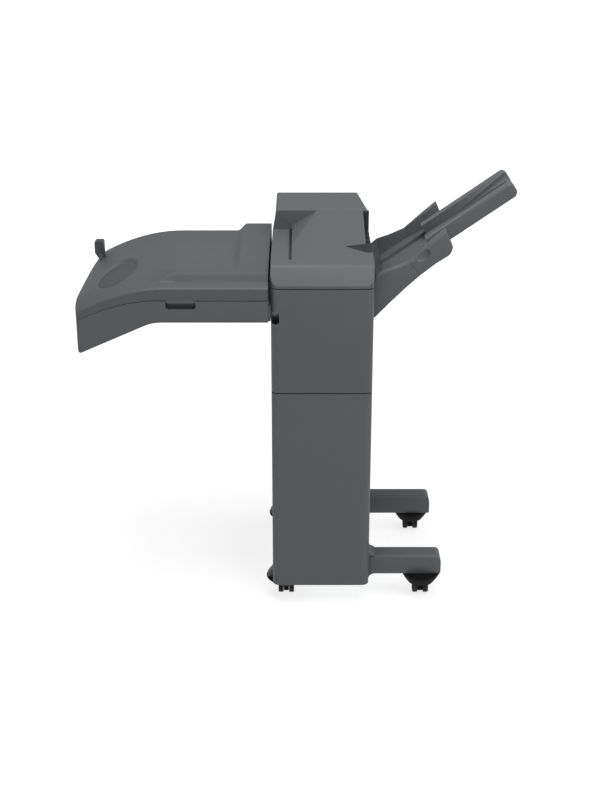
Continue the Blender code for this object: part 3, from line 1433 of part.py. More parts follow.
def lid_section():
    """The lid's rise above its front edge, as (depth, rise) from front to back."""
    section = [(0, 0), (LID_WALL, RIDGE_RISE * LID_LIP_SHARE)]
    for depth, ridge, bed in LID_SHARES:
        section.append((TRANSPORT_DEPTH * depth, RIDGE_RISE * ridge + BED_RISE * bed))
    return section


def lid_height(across, depth, rise):
    """The lid's surface: its section, bent down at the left, with collar and finger hollow."""
    collar = smooth((across + COLLAR_START) / COLLAR_BLEND) * smooth(depth / (TRANSPORT_DEPTH / 2))
    reach = ((across + HOLLOW_PLACE) / HOLLOW_HALF_WIDTH) ** 2
    reach += ((depth - HOLLOW_MIDDLE) / HOLLOW_HALF_DEPTH) ** 2
    hollow = HOLLOW_DEPTH * smooth(HOLLOW_STEEPNESS * (1 - reach))
    return LID_EDGE - droop(across) + rise + COLLAR_RISE * collar - hollow


def lid_stations():
    """Places along the lid, from its drooping end to the cabinet."""
    right = -HALF_WIDTH - TRANSPORT_GAP
    places = [DROOP_STEP * step - TRANSPORT_REACH for step in range(DROOP_STEPS + 1)]
    places.append((places[-1] - COLLAR_START) / 2)
    places += [-COLLAR_START + COLLAR_BLEND * step / COLLAR_STEPS for step in range(COLLAR_STEPS + 1)]
    return [*places, right]


def transport_lid():
    """The lid: a moulded skin over a grid of stations, turned down all round as a lip."""
    places = lid_stations()
    section = lid_section()
    across_rows = [places[0], *places, places[-1]]
    depth_rows = [section[0], *section, section[-1]]
    form = bmesh.new()
    grid = []
    for column, across in enumerate(across_rows):
        end = column in (0, len(across_rows) - 1)
        line = []
        for row, (depth, rise) in enumerate(depth_rows):
            edge = end or row in (0, len(depth_rows) - 1)
            share = max(0, (-across - DROOP_START) / DROOP_LENGTH)
            place = across - bulge(depth) * share * share
            up = seam_height(place + LID_WALL) if edge else lid_height(place, depth, rise)
            line.append(form.verts.new((place, depth, up)))
        grid.append(line)
    for column in range(len(grid) - 1):
        for row in range(len(depth_rows) - 1):
            form.faces.new((grid[column][row], grid[column + 1][row],
                            grid[column + 1][row + 1], grid[column][row + 1]))
    bmesh.ops.remove_doubles(form, verts=form.verts, dist=MERGE)
    mesh = bpy.data.meshes.new("transport_lid")
    form.to_mesh(mesh)
    form.free()
    lid = settle("transport_lid", mesh, MOULDING, (0, LID_AXIS_DEPTH, LID_AXIS_HEIGHT))
    skin = lid.modifiers.new("skin", "SOLIDIFY")
    skin.thickness = LID_WALL
    skin.offset = -1
    skin.use_even_offset = True
    right = -HALF_WIDTH - TRANSPORT_GAP
    cut(lid, box("lid_passage", (right - OVERRUN, SLOT_START, SLOT_LOW),
                 (right + OVERRUN, SLOT_END, SLOT_HIGH)))
    tab = box("lid_tab", (-HANDLE_FROM, SEAT, HANDLE_HIGH),
              (-HANDLE_TO, LID_WALL - SEAT, LID_AXIS_HEIGHT + LID_WALL))
    join(lid, tab)
    for side, start in hinge_places():
        join(lid, knuckle(f"lid_knuckle_{side}", start, start + KNUCKLE_LENGTH,
                          LID_AXIS_HEIGHT + SEAT, LID_AXIS_HEIGHT + KNUCKLE_WEB))
        cut(lid, hinge_bore(f"lid_bore_{side}", start))
    foot = stop_foot()
    for name, start in (("stop_lug_front", STOP_START - SEAT - STOP_LUG),
                        ("stop_lug_rear", STOP_START + STOP_DEPTH + SEAT)):
        base = foot - STOP_LIFT - LID_WALL
        crown = STOP_BARREL * STOP_LUG_SHARE
        lug = prism(name, [rounded([
            (-STOP_PLACE - STOP_BARREL, base, 0), (-STOP_PLACE + STOP_BARREL, base, 0),
            (-STOP_PLACE + crown, foot + crown, STOP_WALL), (-STOP_PLACE - crown, foot + crown, STOP_WALL),
        ])], "Y", start, start + STOP_LUG)
        join(lid, lug)
    bore = rod("stop_bore", (-STOP_PLACE, STOP_START - STOP_LUG - OVERRUN, foot),
               (-STOP_PLACE, STOP_START + STOP_DEPTH + STOP_LUG + OVERRUN, foot), STOP_PIN_RADIUS + SEAT)
    return cut(lid, bore)


def lid_hinge_rod():
    """One rod through both hinges."""
    end = -HINGE_RIGHT + 2 * KNUCKLE_LENGTH
    return rod("lid_hinge_rod", (-HINGE_LEFT, LID_AXIS_DEPTH, LID_AXIS_HEIGHT),
               (end, LID_AXIS_DEPTH, LID_AXIS_HEIGHT), HINGE_PIN_RADIUS, STEEL)


def stop_foot():
    """Height of the paper stop's pin above the bed."""
    return LID_EDGE - droop(-STOP_PLACE) + BED_RISE + STOP_LIFT


def paper_stop():
    """The upright post that ends the stack, round at its foot and hollow from the left."""
    foot = stop_foot()
    right = -STOP_PLACE + STOP_BARREL
    left = right - STOP_WIDTH
    low = foot - STOP_BARREL
    pivot = (-STOP_PLACE, STOP_START + STOP_DEPTH / 2, foot)
    outline = rounded([
        (left, low + STOP_BARREL * 2, STOP_RADIUS), (-STOP_PLACE - STOP_BARREL, low, STOP_WALL),
        (right, low, STOP_BARREL * STOP_TOE_SHARE), (right, low + STOP_HEIGHT, STOP_RADIUS),
        (left, low + STOP_HEIGHT, STOP_RADIUS),
    ])
    post = prism("paper_stop", [outline], "Y", STOP_START, STOP_START + STOP_DEPTH, DARK_MOULDING, pivot)
    hollow = box("stop_hollow", (left - OVERRUN, STOP_START + STOP_WALL, foot + 2 * STOP_BARREL),
                 (right - STOP_WALL, STOP_START + STOP_DEPTH - STOP_WALL, low + STOP_HEIGHT - STOP_WALL))
    cut(post, hollow)
    pin = rod("stop_pin", (-STOP_PLACE, STOP_START - STOP_LUG, foot),
              (-STOP_PLACE, STOP_START + STOP_DEPTH + STOP_LUG, foot), STOP_PIN_RADIUS)
    return join(post, pin)


def transport_guide():
    """The folded guide that carries the feed rollers, with a window for each tyre."""
    front = FLANGE_INSET
    rear = TRANSPORT_DEPTH - FLANGE_INSET
    low = TRANSPORT_BOTTOM + TRANSPORT_WALL + SEAT
    top = GUIDE_HEIGHT + GUIDE_PLATE
    outline = [
        (front, low), (front + GUIDE_PLATE, low), (front + GUIDE_PLATE, GUIDE_HEIGHT),
        (rear - GUIDE_PLATE, GUIDE_HEIGHT), (rear - GUIDE_PLATE, low), (rear, low),
        (rear, top), (front, top),
    ]
    right = -HALF_WIDTH - TRANSPORT_GAP - TRANSPORT_WALL - SEAT
    guide = prism("transport_guide", [outline], "X", -GUIDE_START, right, STEEL)
    for place in ROLLER_PLACES:
        for tyre in range(TYRE_COUNT):
            middle = TYRE_FIRST + TYRE_PITCH * tyre
            half = TYRE_WIDTH / 2 + COVER_WALL
            cut(guide, box("tyre_window", (-place - ROLLER_WINDOW, middle - half, ROLLER_HEIGHT),
                           (-place + ROLLER_WINDOW, middle + half, GUIDE_HEIGHT + OVERRUN)))
        cut(guide, rod("roller_hole", (-place, 0, ROLLER_HEIGHT), (-place, TRANSPORT_DEPTH, ROLLER_HEIGHT),
                       SHAFT_RADIUS + SEAT))
    return guide


def feed_pulley_start():
    return TRANSPORT_DEPTH - FLANGE_INSET + COVER_WALL


def feed_roller(name, place):
    """A feed roller: shaft, tyres and the pulley at its rear end."""
    low = feed_pulley_start()
    high = low + FEED_PULLEY_WIDTH
    shaft = roller_profile(FLANGE_INSET - COVER_WALL, low, SHAFT_RADIUS, ROLLER_RADIUS)
    profile = [(high, 0), (high, FEED_PULLEY_RADIUS), (low, FEED_PULLEY_RADIUS), *shaft[1:]]
    return turned(name, profile, "Y", (-place, 0, ROLLER_HEIGHT), RUBBER, ROLLER_SIDES)


def feed_rollers():
    names = ("feed_roller_right", "feed_roller_middle", "feed_roller_left")
    return [feed_roller(name, place) for name, place in zip(names, ROLLER_PLACES)]


def feed_belt():
    wheels = [
        (-ROLLER_PLACES[-1], ROLLER_HEIGHT, FEED_PULLEY_RADIUS),
        (-ROLLER_PLACES[0], ROLLER_HEIGHT, FEED_PULLEY_RADIUS),
    ]
    low = feed_pulley_start()
    return belt("feed_belt", wheels, "Y", low + SEAT, low + FEED_PULLEY_WIDTH - SEAT, RUBBER)


# Legs and casters

def stem_hole(name, across, depth, height):
    return rod(name, (across, depth, height - OVERRUN), (across, depth, height + OVERRUN),
               STEM_RADIUS + SEAT)


def leg(name, middle, caster):
    """An outrigger: a moulded box with a rounded crest over a flat caster plate."""
    start = HALF_WIDTH + SEAT
    end = start + LEG_LENGTH
    front = middle - LEG_WIDTH / 2
    rear = middle + LEG_WIDTH / 2
    outline = rounded([
        (start, LEG_BOTTOM, 0), (end, LEG_BOTTOM, LEG_EDGE_RADIUS), (end, LEG_TOP, LEG_RADIUS),
        (start, LEG_TOP, 0),
    ])
    body = prism(name, [outline], "Y", front - OVERRUN, rear + OVERRUN, MOULDING)
    crest = rounded([
        (front, LEG_BOTTOM - OVERRUN, 0), (rear, LEG_BOTTOM - OVERRUN, 0),
        (rear, LEG_TOP, LEG_CREST_RADIUS), (front, LEG_TOP, LEG_CREST_RADIUS),
    ])
    overlap(body, prism(name + "_crest", [crest], "X", start - OVERRUN, end + OVERRUN))
    inside = box(name + "_inside", (start - OVERRUN, front + LEG_WALL, LEG_BOTTOM + LEG_PLATE),
                 (end - LEG_RADIUS, rear - LEG_WALL, LEG_TOP - LEG_CREST_RADIUS))
    cut(body, inside)
    return cut(body, stem_hole(name + "_stem_hole", CASTER_RIGHT, caster, LEG_BOTTOM))


CASTERS = (
    ("front_left", CASTER_LEFT, CASTER_FRONT, CABINET_BOTTOM),
    ("rear_left", CASTER_LEFT, CASTER_REAR, CABINET_BOTTOM),
    ("front_right", CASTER_RIGHT, CASTER_FRONT, LEG_BOTTOM),
    ("rear_right", CASTER_RIGHT, CASTER_REAR, LEG_BOTTOM),
)


def caster_cup(side, across, depth, ceiling):
    """The fixed black cup round a caster, narrowing to its mouth."""
    top = ceiling - SEAT
    hole = STEM_RADIUS + SEAT
    inner = CUP_RADIUS - CUP_WALL
    mouth_inner = CUP_MOUTH_RADIUS - CUP_WALL
    profile = [
        (top, hole), (top, CUP_RADIUS), (top - CUP_BAND, CUP_RADIUS),
        (CUP_MOUTH_HEIGHT, CUP_MOUTH_RADIUS), (CUP_MOUTH_HEIGHT, mouth_inner),
        (top - CUP_BAND - CUP_WALL / 2, inner), (top - CUP_WALL, inner - CUP_WALL / 2),
        (top - CUP_WALL, hole),
    ]
    cup = turned(f"caster_cup_{side}", profile, "Z", (across, depth, 0), BLACK_MOULDING, hollow=True)
    if across < 0:
        half = CUP_LUG_WIDTH / 2
        left = across - CUP_RADIUS + CUP_WALL
        right = -HALF_WIDTH - SEAT
        low = top - CUP_BAND
        outline = [(left, low), (right, low), (right, top + CUP_LUG_HEIGHT),
                   (right - CUP_WALL, top + CUP_LUG_HEIGHT), (left, top + CUP_WALL)]
        join(cup, prism(f"cup_lug_{side}", [outline], "Y", depth - half, depth + half))
    return cup


def caster_fork(side, across, depth, ceiling):
    """The swivel: a disc and stem turned in one, with a web down between the wheels."""
    top = ceiling - SEAT - CUP_WALL - SEAT
    profile = [
        (top + STEM_LENGTH, 0), (top + STEM_LENGTH, STEM_RADIUS), (top, STEM_RADIUS),
        (top, FORK_DISC_RADIUS), (top - FORK_DISC, FORK_DISC_RADIUS), (top - FORK_DISC, 0),
    ]
    fork = turned(f"caster_fork_{side}", profile, "Z", (across, depth, 0), BLACK_MOULDING)
    axle_depth = depth + CASTER_TRAIL
    low = WHEEL_HEIGHT - FORK_RADIUS / 2
    web = rounded([
        (depth - FORK_RADIUS, top - FORK_DISC / 2, 0), (axle_depth - FORK_RADIUS / 2, low, FORK_RADIUS / 3),
        (axle_depth + FORK_RADIUS / 2, low, FORK_RADIUS / 3), (depth + FORK_RADIUS, top - FORK_DISC / 2, 0),
    ])
    join(fork, prism(f"fork_web_{side}", [web], "X", across - FORK_WIDTH / 2, across + FORK_WIDTH / 2))
    cut(fork, rod(f"fork_bore_{side}", (across - OVERRUN, axle_depth, WHEEL_HEIGHT),
                  (across + OVERRUN, axle_depth, WHEEL_HEIGHT), AXLE_RADIUS + SEAT))
    return fork


def caster_wheels(side, across, depth, fork):
    """Twin wheels and their axle, turned in one and standing on a flat of the tread."""
    tread = WHEEL_HEIGHT / math.cos(math.pi / WHEEL_SIDES)
    inner = WHEEL_GAP / 2
    outer = inner + WHEEL_WIDTH
    shoulder = tread - WHEEL_BULGE
    half = [
        (outer, 0), (outer, shoulder), (outer - WHEEL_BULGE, tread), (inner + WHEEL_BULGE / 2, tread),
        (inner, tread - WHEEL_BULGE / 2), (inner, AXLE_RADIUS),
    ]
    mirror = [(-along, radius) for along, radius in reversed(half)]
    wheels = turned(f"caster_wheels_{side}", [*half, *mirror], "X",
                    (across, depth + CASTER_TRAIL, WHEEL_HEIGHT), RUBBER, WHEEL_SIDES,
                    lead=math.pi / WHEEL_SIDES)
    return hang(wheels, fork)


# Assembly

def cabinet():
    lower_front_cover()
    front_door_piece = front_door()
    set_pivot(front_door_piece, door_axis())
    door_pins()
    left_side_cover()
    right_side_cover()
    rear_cover()
    top_cover()
    exit_guide()
    base_pan()
    front_frame_plate()
    rear_frame_plate()
    tie_bar("lower_tie_bar", LOWER_TIE_HEIGHT)
    tie_bar("upper_tie_bar", UPPER_TIE_HEIGHT)


def set_pivot(piece, pivot):
    """Move a piece's origin onto its joint's axis and leave its mesh where it is."""
    offset = Vector(pivot) - piece.location
    piece.data.transform(Matrix.Translation(-offset))
    piece.location = pivot


def sheet_path():
    entrance_roller()
    exit_roller()
    exit_idler()
    drive_belt()
    drive_motor()
    motor_pulley()
    compile_tray()
    front_jogger()
    rear_jogger()
    stapler_rail()
    hang(staple_cartridge(), stapler())
    circuit_board()


def tray_lift():
    lift_rods()
    lift_crossbar()
    lift_belt()
    lift_motor()
    lift_pulley("lift_pulley_upper", LIFT_PULLEY_TOP)
    lift_pulley("lift_pulley_lower", LIFT_PULLEY_BOTTOM)
    carriage = lift_carriage()
    tray = hang(output_tray(), carriage)
    hang(tray_extension(), tray)


def transport():
    transport_housing()
    lid = transport_lid()
    lid_hinge_rod()
    hang(paper_stop(), lid)
    transport_guide()
    feed_rollers()
    feed_belt()


def legs_and_casters():
    leg("front_leg", CASTER_FRONT, CASTER_FRONT)
    leg("rear_leg", CASTER_REAR - REAR_LEG_OFFSET, CASTER_REAR)
    for side, across, depth, ceiling in CASTERS:
        caster_cup(side, across, depth, ceiling)
        fork = caster_fork(side, across, depth, ceiling)
        caster_wheels(side, across, depth, fork)


def centre_footprint():
    """Shift the whole so that X and Y start from the middle of the footprint."""
    right = max(across for across, up in extension_outline())
    left = -TRANSPORT_REACH - END_BULGE
    root.location = (-(left + right) / 2, -CABINET_DEPTH / 2, 0)


def build():
    centre_footprint()
    cabinet()
    sheet_path()
    tray_lift()
    transport()
    legs_and_casters()


build()
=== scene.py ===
import json
import math

import bpy
import bmesh
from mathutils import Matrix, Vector


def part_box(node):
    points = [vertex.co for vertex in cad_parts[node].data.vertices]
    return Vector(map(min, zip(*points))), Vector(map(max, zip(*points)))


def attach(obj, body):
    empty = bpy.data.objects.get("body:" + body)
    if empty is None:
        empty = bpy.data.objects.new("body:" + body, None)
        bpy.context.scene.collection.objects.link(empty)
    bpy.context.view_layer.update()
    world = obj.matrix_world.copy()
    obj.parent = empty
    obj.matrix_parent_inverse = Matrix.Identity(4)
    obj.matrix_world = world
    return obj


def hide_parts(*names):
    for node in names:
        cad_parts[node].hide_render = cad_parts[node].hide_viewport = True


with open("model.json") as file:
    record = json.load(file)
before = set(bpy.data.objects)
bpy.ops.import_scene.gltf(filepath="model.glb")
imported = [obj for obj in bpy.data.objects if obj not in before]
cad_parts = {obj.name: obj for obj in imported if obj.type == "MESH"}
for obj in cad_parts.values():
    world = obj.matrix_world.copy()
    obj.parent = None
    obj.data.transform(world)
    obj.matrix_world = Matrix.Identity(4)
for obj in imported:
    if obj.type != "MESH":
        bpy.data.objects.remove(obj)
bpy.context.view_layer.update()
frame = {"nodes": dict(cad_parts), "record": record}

# The photographer's room.
# The finisher stands on a seamless white sweep. The camera is a little above its top and
# in front of its middle, so that the door is square on and the shelves are seen from above.

scene = bpy.context.scene
scene.view_settings.view_transform = "Standard"


def colour(code):
    """A six-digit sRGB colour as the linear values that a node takes."""
    parts = [int(code[place:place + 2], 16) / 255 for place in (0, 2, 4)]
    return tuple(part / 12.92 if part <= 0.04045 else ((part + 0.055) / 1.055) ** 2.4
                 for part in parts) + (1,)


def add(tree, kind, values=None, links=None, **settings):
    """Add one node with its settings, its socket values and what feeds its sockets."""
    made = tree.nodes.new(kind)
    for name, value in settings.items():
        setattr(made, name, value)
    for socket, value in (values or {}).items():
        made.inputs[socket].default_value = value
    for socket, source in (links or {}).items():
        tree.links.new(source, made.inputs[socket])
    return made


def noise(tree, where, scale, detail, rough=0.5):
    """Cloudy noise, its scale in cycles to the metre."""
    return add(tree, "ShaderNodeTexNoise", {"Scale": scale, "Detail": detail, "Roughness": rough},
               {"Vector": where}).outputs["Fac"]


def ranged(tree, source, given, wanted=(0.0, 1.0)):
    """A value carried from the range it is given in to the one that is wanted."""
    return add(tree, "ShaderNodeMapRange", {"From Min": given[0], "From Max": given[1],
                                            "To Min": wanted[0], "To Max": wanted[1]},
               {0: source}).outputs[0]


def bumped(tree, source, strength, distance):
    """The normal of a surface with a little relief, its depth in metres."""
    return add(tree, "ShaderNodeBump", {"Strength": strength, "Distance": distance},
               {"Height": source}).outputs[0]


def bare(name):
    """A material without a surface, its tree and its coordinates."""
    made = bpy.data.materials.new(name)
    made.use_nodes = True
    made.node_tree.nodes.clear()
    return made, made.node_tree, add(made.node_tree, "ShaderNodeTexCoord").outputs["Object"]


def show(tree, shader):
    """Make a shader the surface of its material."""
    add(tree, "ShaderNodeOutputMaterial", links={"Surface": shader.outputs[0]})


view = bpy.data.cameras.new("photo_camera")
view.sensor_fit = "VERTICAL"
view.sensor_height = 36
view.lens = 62.5
view.clip_end = 200
camera = bpy.data.objects.new("photo_camera", view)
camera.location = (0.01083, -3.697, 2.012)
camera.rotation_euler = (math.radians(67.8), 0, 0)
scene.collection.objects.link(camera)
scene.camera = camera

# White painted sweep: matt, and bright to the eye while it keeps the soft shadow.
sweep, tree, where = bare("white_sweep_paint")
path = add(tree, "ShaderNodeLightPath")
seen = add(tree, "ShaderNodeMath", operation="MAXIMUM",
           links={0: path.outputs["Is Camera Ray"], 1: path.outputs["Is Glossy Ray"]})
seen = add(tree, "ShaderNodeMath", operation="MAXIMUM",
           links={0: seen.outputs[0], 1: path.outputs["Is Transmission Ray"]})
paint = add(tree, "ShaderNodeBsdfDiffuse", {"Color": colour("B4B4B3")})
# The sweep brightens with distance, so that it meets the white wall without a line.
away = add(tree, "ShaderNodeVectorMath", links={0: where}, operation="LENGTH")
lift = ranged(tree, away.outputs["Value"], (0.9, 3.0), (0.78, 1.0))
glow = add(tree, "ShaderNodeEmission", {"Color": colour("FFFFFF")}, {"Strength": lift})
bright = add(tree, "ShaderNodeAddShader", links={0: paint.outputs[0], 1: glow.outputs[0]})
mixed = add(tree, "ShaderNodeMixShader",
            links={0: seen.outputs[0], 1: paint.outputs[0], 2: bright.outputs[0]})
show(tree, mixed)
bpy.ops.object.select_all(action="DESELECT")
bpy.ops.mesh.primitive_plane_add(size=80, location=(0, 0, -0.0005))
floor = bpy.context.object
floor.name = "sweep_floor"
floor.data.materials.append(sweep)

world = bpy.data.worlds.new("white_room")
world.use_nodes = True
scene.world = world
tree = world.node_tree
tree.nodes.clear()
path = add(tree, "ShaderNodeLightPath")
seen = add(tree, "ShaderNodeMath", operation="MAXIMUM",
           links={0: path.outputs["Is Camera Ray"], 1: path.outputs["Is Transmission Ray"]})
# The room is darker on the finisher's left.
side = add(tree, "ShaderNodeSeparateXYZ",
           links={0: add(tree, "ShaderNodeTexCoord").outputs["Generated"]})
level = ranged(tree, side.outputs["X"], (-0.9, 0.3), (0.28, 0.53))
air = add(tree, "ShaderNodeBackground", {"Color": colour("F4F6F8")}, {"Strength": level})
wall = add(tree, "ShaderNodeBackground", {"Color": (1, 1, 1, 1), "Strength": 1.0})
mixed = add(tree, "ShaderNodeMixShader",
            links={0: seen.outputs[0], 1: air.outputs[0], 2: wall.outputs[0]})
add(tree, "ShaderNodeOutputWorld", links={"Surface": mixed.outputs[0]})


def lamp(name, place, aim, size, power):
    """A soft box of the given side that points at a place."""
    light = bpy.data.lights.new(name, "AREA")
    light.shape = "SQUARE"
    light.size = size
    light.energy = power
    holder = bpy.data.objects.new(name, light)
    holder.location = place
    turn = Vector(aim) - Vector(place)
    holder.rotation_euler = turn.to_track_quat("-Z", "Y").to_euler()
    holder.visible_camera = False
    scene.collection.objects.link(holder)


lamp("overhead_softbox", (-0.3, -0.6, 5.4), (0, 0, 0.7), 2.2, 106)
lamp("front_softbox", (1.5, -2.6, 4.3), (0.1, 0, 0.6), 2.0, 46)


# The steel frame.
# Two upright plates stand in a folded pan and are tied by channels. All of it is cold-rolled
# sheet, blanked, folded and zinc plated, and the covers snap on to it.

def plated_sheet(name, shade, spangle):
    """Zinc-plated sheet steel: a cool grey metal with faint cloudy crystals and dull patches."""
    made, tree, where = bare(name)
    # Crystals are 8 to 15 mm across on plated sheet.
    crystals = add(tree, "ShaderNodeTexVoronoi", {"Scale": 1 / spangle}, {"Vector": where})
    cloud = noise(tree, where, 14.0, 3.0)
    tone = add(tree, "ShaderNodeMixRGB", {"Fac": 0.30}, {1: crystals.outputs["Color"], 2: cloud})
    grey = add(tree, "ShaderNodeRGBToBW", links={0: tone.outputs[0]})
    ramp = add(tree, "ShaderNodeValToRGB", links={0: grey.outputs[0]})
    for stop, place, paint in zip(ramp.color_ramp.elements, (0.15, 0.95), (shade, "C9CCCE")):
        stop.color = colour(paint)
        stop.position = place
    show(tree, add(tree, "ShaderNodeBsdfPrincipled", {"Metallic": 1.0},
                   {"Base Color": ramp.outputs[0],
                    "Roughness": ranged(tree, cloud, (0.0, 1.0), (0.30, 0.46)),
                    "Normal": bumped(tree, cloud, 0.05, 0.0004)}))
    return made


def dress(material, *nodes):
    """Give the named pieces of the frame this finish."""
    for name in nodes:
        for holder in frame["nodes"][name].material_slots:
            holder.material = material


sheet_steel = plated_sheet("zinc_plated_sheet", "A3A6A9", 0.011)
dress(sheet_steel, "base_pan", "front_frame_plate", "rear_frame_plate", "lower_tie_bar",
      "upper_tie_bar", "compile_tray", "transport_guide", "lift_carriage", "lift_crossbar")


# The front covers.
# A door over the stapler and a fixed cover below it, both 3 mm ABS shells moulded in a
# fine spark-eroded tool. They wrap round the front corners and snap on to the side plates.

def moulded(name, shade, worn, grain, low_gloss, high_gloss):
    """ABS moulded against an eroded tool: matt, slightly uneven, rubbed paler on its edges."""
    made, tree, where = bare(name)
    # Flow of the melt leaves cloudy patches about 90 mm across.
    flow = noise(tree, where, 11.0, 3.0, 0.55)
    # Handling leaves duller and shinier patches about 40 mm across.
    hands = noise(tree, where, 25.0, 4.0)
    # The real eroded grain is 0.2 mm. It is drawn coarser, so that it shows at all.
    pits = noise(tree, where, 1 / grain, 2.0)
    body = add(tree, "ShaderNodeHueSaturation", {"Color": colour(shade)},
               {"Value": ranged(tree, flow, (0.3, 0.7), (0.992, 1.008))})
    # An edge is where the surface turns within 3 mm.
    turned = add(tree, "ShaderNodeVectorMath", links={
        0: add(tree, "ShaderNodeBevel", {"Radius": 0.003}, samples=4).outputs["Normal"],
        1: add(tree, "ShaderNodeNewGeometry").outputs["Normal"]}, operation="DOT_PRODUCT")
    wear = add(tree, "ShaderNodeMath", operation="MULTIPLY", links={
        0: ranged(tree, turned.outputs["Value"], (0.99, 0.86), (0.0, 0.60)),
        1: ranged(tree, hands, (0.40, 0.62))})
    paint = add(tree, "ShaderNodeMixRGB", {2: colour(worn)},
                {0: wear.outputs[0], 1: body.outputs[0]})
    show(tree, add(tree, "ShaderNodeBsdfPrincipled", {"IOR": 1.53},
                   {"Base Color": paint.outputs[0],
                    "Roughness": ranged(tree, hands, (0.3, 0.7), (low_gloss, high_gloss)),
                    "Normal": bumped(tree, pits, 0.22, 0.0003)}))
    return made


charcoal = moulded("charcoal_abs", "5D5E60", "7E7F80", 0.0022, 0.52, 0.55)


def begin(name, primitive, **sizes):
    """Start a piece from a primitive, with nothing else chosen."""
    bpy.ops.object.select_all(action="DESELECT")
    primitive(**sizes)
    piece = bpy.context.object
    piece.name = name
    return piece


def take(piece):
    """Choose one piece, so that operators act on it alone."""
    bpy.ops.object.select_all(action="DESELECT")
    bpy.context.view_layer.objects.active = piece
    piece.select_set(True)


def twin_of(shape, name):
    """An object with a copy of another's mesh, at the frame's origin."""
    twin = bpy.data.objects.new(name, shape.data.copy())
    scene.collection.objects.link(twin)
    return twin


def block(name, low, high):
    """A block between two corners, with its place in its mesh."""
    low, high = Vector(low), Vector(high)
    piece = begin(name, bpy.ops.mesh.primitive_cube_add, size=1, location=(low + high) / 2)
    piece.scale = high - low
    bpy.ops.object.transform_apply()
    return piece


def pick(piece, kind, rule=lambda item: True):
    """Start work on a piece, with only the faces, edges or corners chosen that keep a rule."""
    if piece.mode != "EDIT":
        take(piece)
        bpy.ops.object.mode_set(mode="EDIT")
    bpy.ops.mesh.select_mode(type=kind)
    bpy.ops.mesh.select_all(action="DESELECT")
    form = bmesh.from_edit_mesh(piece.data)
    for item in {"FACE": form.faces, "EDGE": form.edges, "VERT": form.verts}[kind]:
        if rule(item):
            item.select_set(True)
    form.select_flush_mode()
    bmesh.update_edit_mesh(piece.data)


def put_down(piece):
    """Leave edit mode."""
    bpy.context.view_layer.objects.active = piece
    if piece.mode == "EDIT":
        bpy.ops.object.mode_set(mode="OBJECT")


def settle(piece, kind, **settings):
    """Give a piece one modifier and apply it."""
    put_down(piece)
    take(piece)
    change = piece.modifiers.new(kind.lower(), kind)
    for name, value in settings.items():
        setattr(change, name, value)
    bpy.ops.object.modifier_apply(modifier=change.name)


def drop(*pieces):
    """Clear pieces away."""
    for piece in pieces:
        bpy.data.objects.remove(piece, do_unlink=True)


def cut_away(piece, *tools):
    """Cut tools out of a piece and clear them away."""
    for tool in tools:
        settle(piece, "BOOLEAN", object=tool, operation="DIFFERENCE", solver="EXACT")
        drop(tool)


def flat(edge, axis):
    """Whether an edge's two ends lie level along an axis."""
    return near(edge.verts[0].co[axis], edge.verts[1].co[axis])


def bevel(radius, steps):
    """Round the chosen edges."""
    bpy.ops.mesh.bevel(offset=radius, segments=steps, affect="EDGES")


def face_out(piece):
    """Turn all faces outwards, or one way where the piece is open."""
    pick(piece, "FACE")
    bpy.ops.mesh.normals_make_consistent(inside=False)
    put_down(piece)


def round_block(name, low, high, radius, axis, steps=6):
    """A block whose edges along one axis are rounded."""
    piece = block(name, low, high)
    pick(piece, "EDGE", lambda edge: abs((edge.verts[0].co - edge.verts[1].co)[axis]) > 1e-5)
    bevel(radius, steps)
    put_down(piece)
    return piece


def drum(name, start, end, radius, sides=32):
    """A round bar between two places."""
    start, end = Vector(start), Vector(end)
    piece = begin(name, bpy.ops.mesh.primitive_cylinder_add, vertices=sides, radius=radius,
                    depth=(end - start).length)
    piece.rotation_mode = "QUATERNION"
    piece.rotation_quaternion = (end - start).to_track_quat("Z", "Y")
    piece.location = (start + end) / 2
    bpy.ops.object.transform_apply()
    piece.rotation_mode = "XYZ"
    return piece


def soften(piece, width, steps=3, angle=35):
    """Round a moulding's sharp edges, as every moulding's are."""
    settle(piece, "BEVEL", width=width, segments=steps, limit_method="ANGLE",
           angle_limit=math.radians(angle), miter_outer="MITER_ARC")


def finish(piece, material, body, *nodes, angle=35):
    """Shade a piece, give it its finish and let it take the place of pieces of the frame."""
    put_down(piece)
    take(piece)
    bpy.ops.object.shade_smooth_by_angle(angle=math.radians(angle))
    piece.data.materials.clear()
    piece.data.materials.append(material)
    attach(piece, body)
    if nodes:
        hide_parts(*nodes)


def near(first, second, slack=1e-4):
    """Whether two measures are the same but for a slack."""
    return abs(first - second) < slack


cover_wall, cover_corner, rim_radius = 0.003, 0.020, 0.0014


def front_cover(name, node, opens_below):
    """A cover's shell: corners rounded, open at its rear, with small radii on its rims."""
    low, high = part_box(node)
    cover = block(name, low, high)
    pick(cover, "EDGE", lambda edge: all(near(corner.co.y, low.y) for corner in edge.verts)
         and not flat(edge, 2))
    bevel(cover_corner, 12)
    pick(cover, "EDGE", lambda edge: flat(edge, 2)
         and min(corner.co.y for corner in edge.verts) < high.y - rim_radius
         and (near(edge.verts[0].co.z, high.z) or not opens_below)
         and len({round(face.normal.z) for face in edge.link_faces}) == 2)
    bevel(rim_radius, 3)
    pick(cover, "FACE", lambda face: face.normal.y > 0.9
         or (opens_below and face.normal.z < -0.9))
    bpy.ops.mesh.delete(type="FACE")
    settle(cover, "SOLIDIFY", thickness=cover_wall, offset=-1, use_even_offset=True)
    return cover


lower_cover = front_cover("lower_cover_shell", "lower_front_cover", True)
door = front_cover("door_shell", "front_door", False)
door_low, door_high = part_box("front_door")
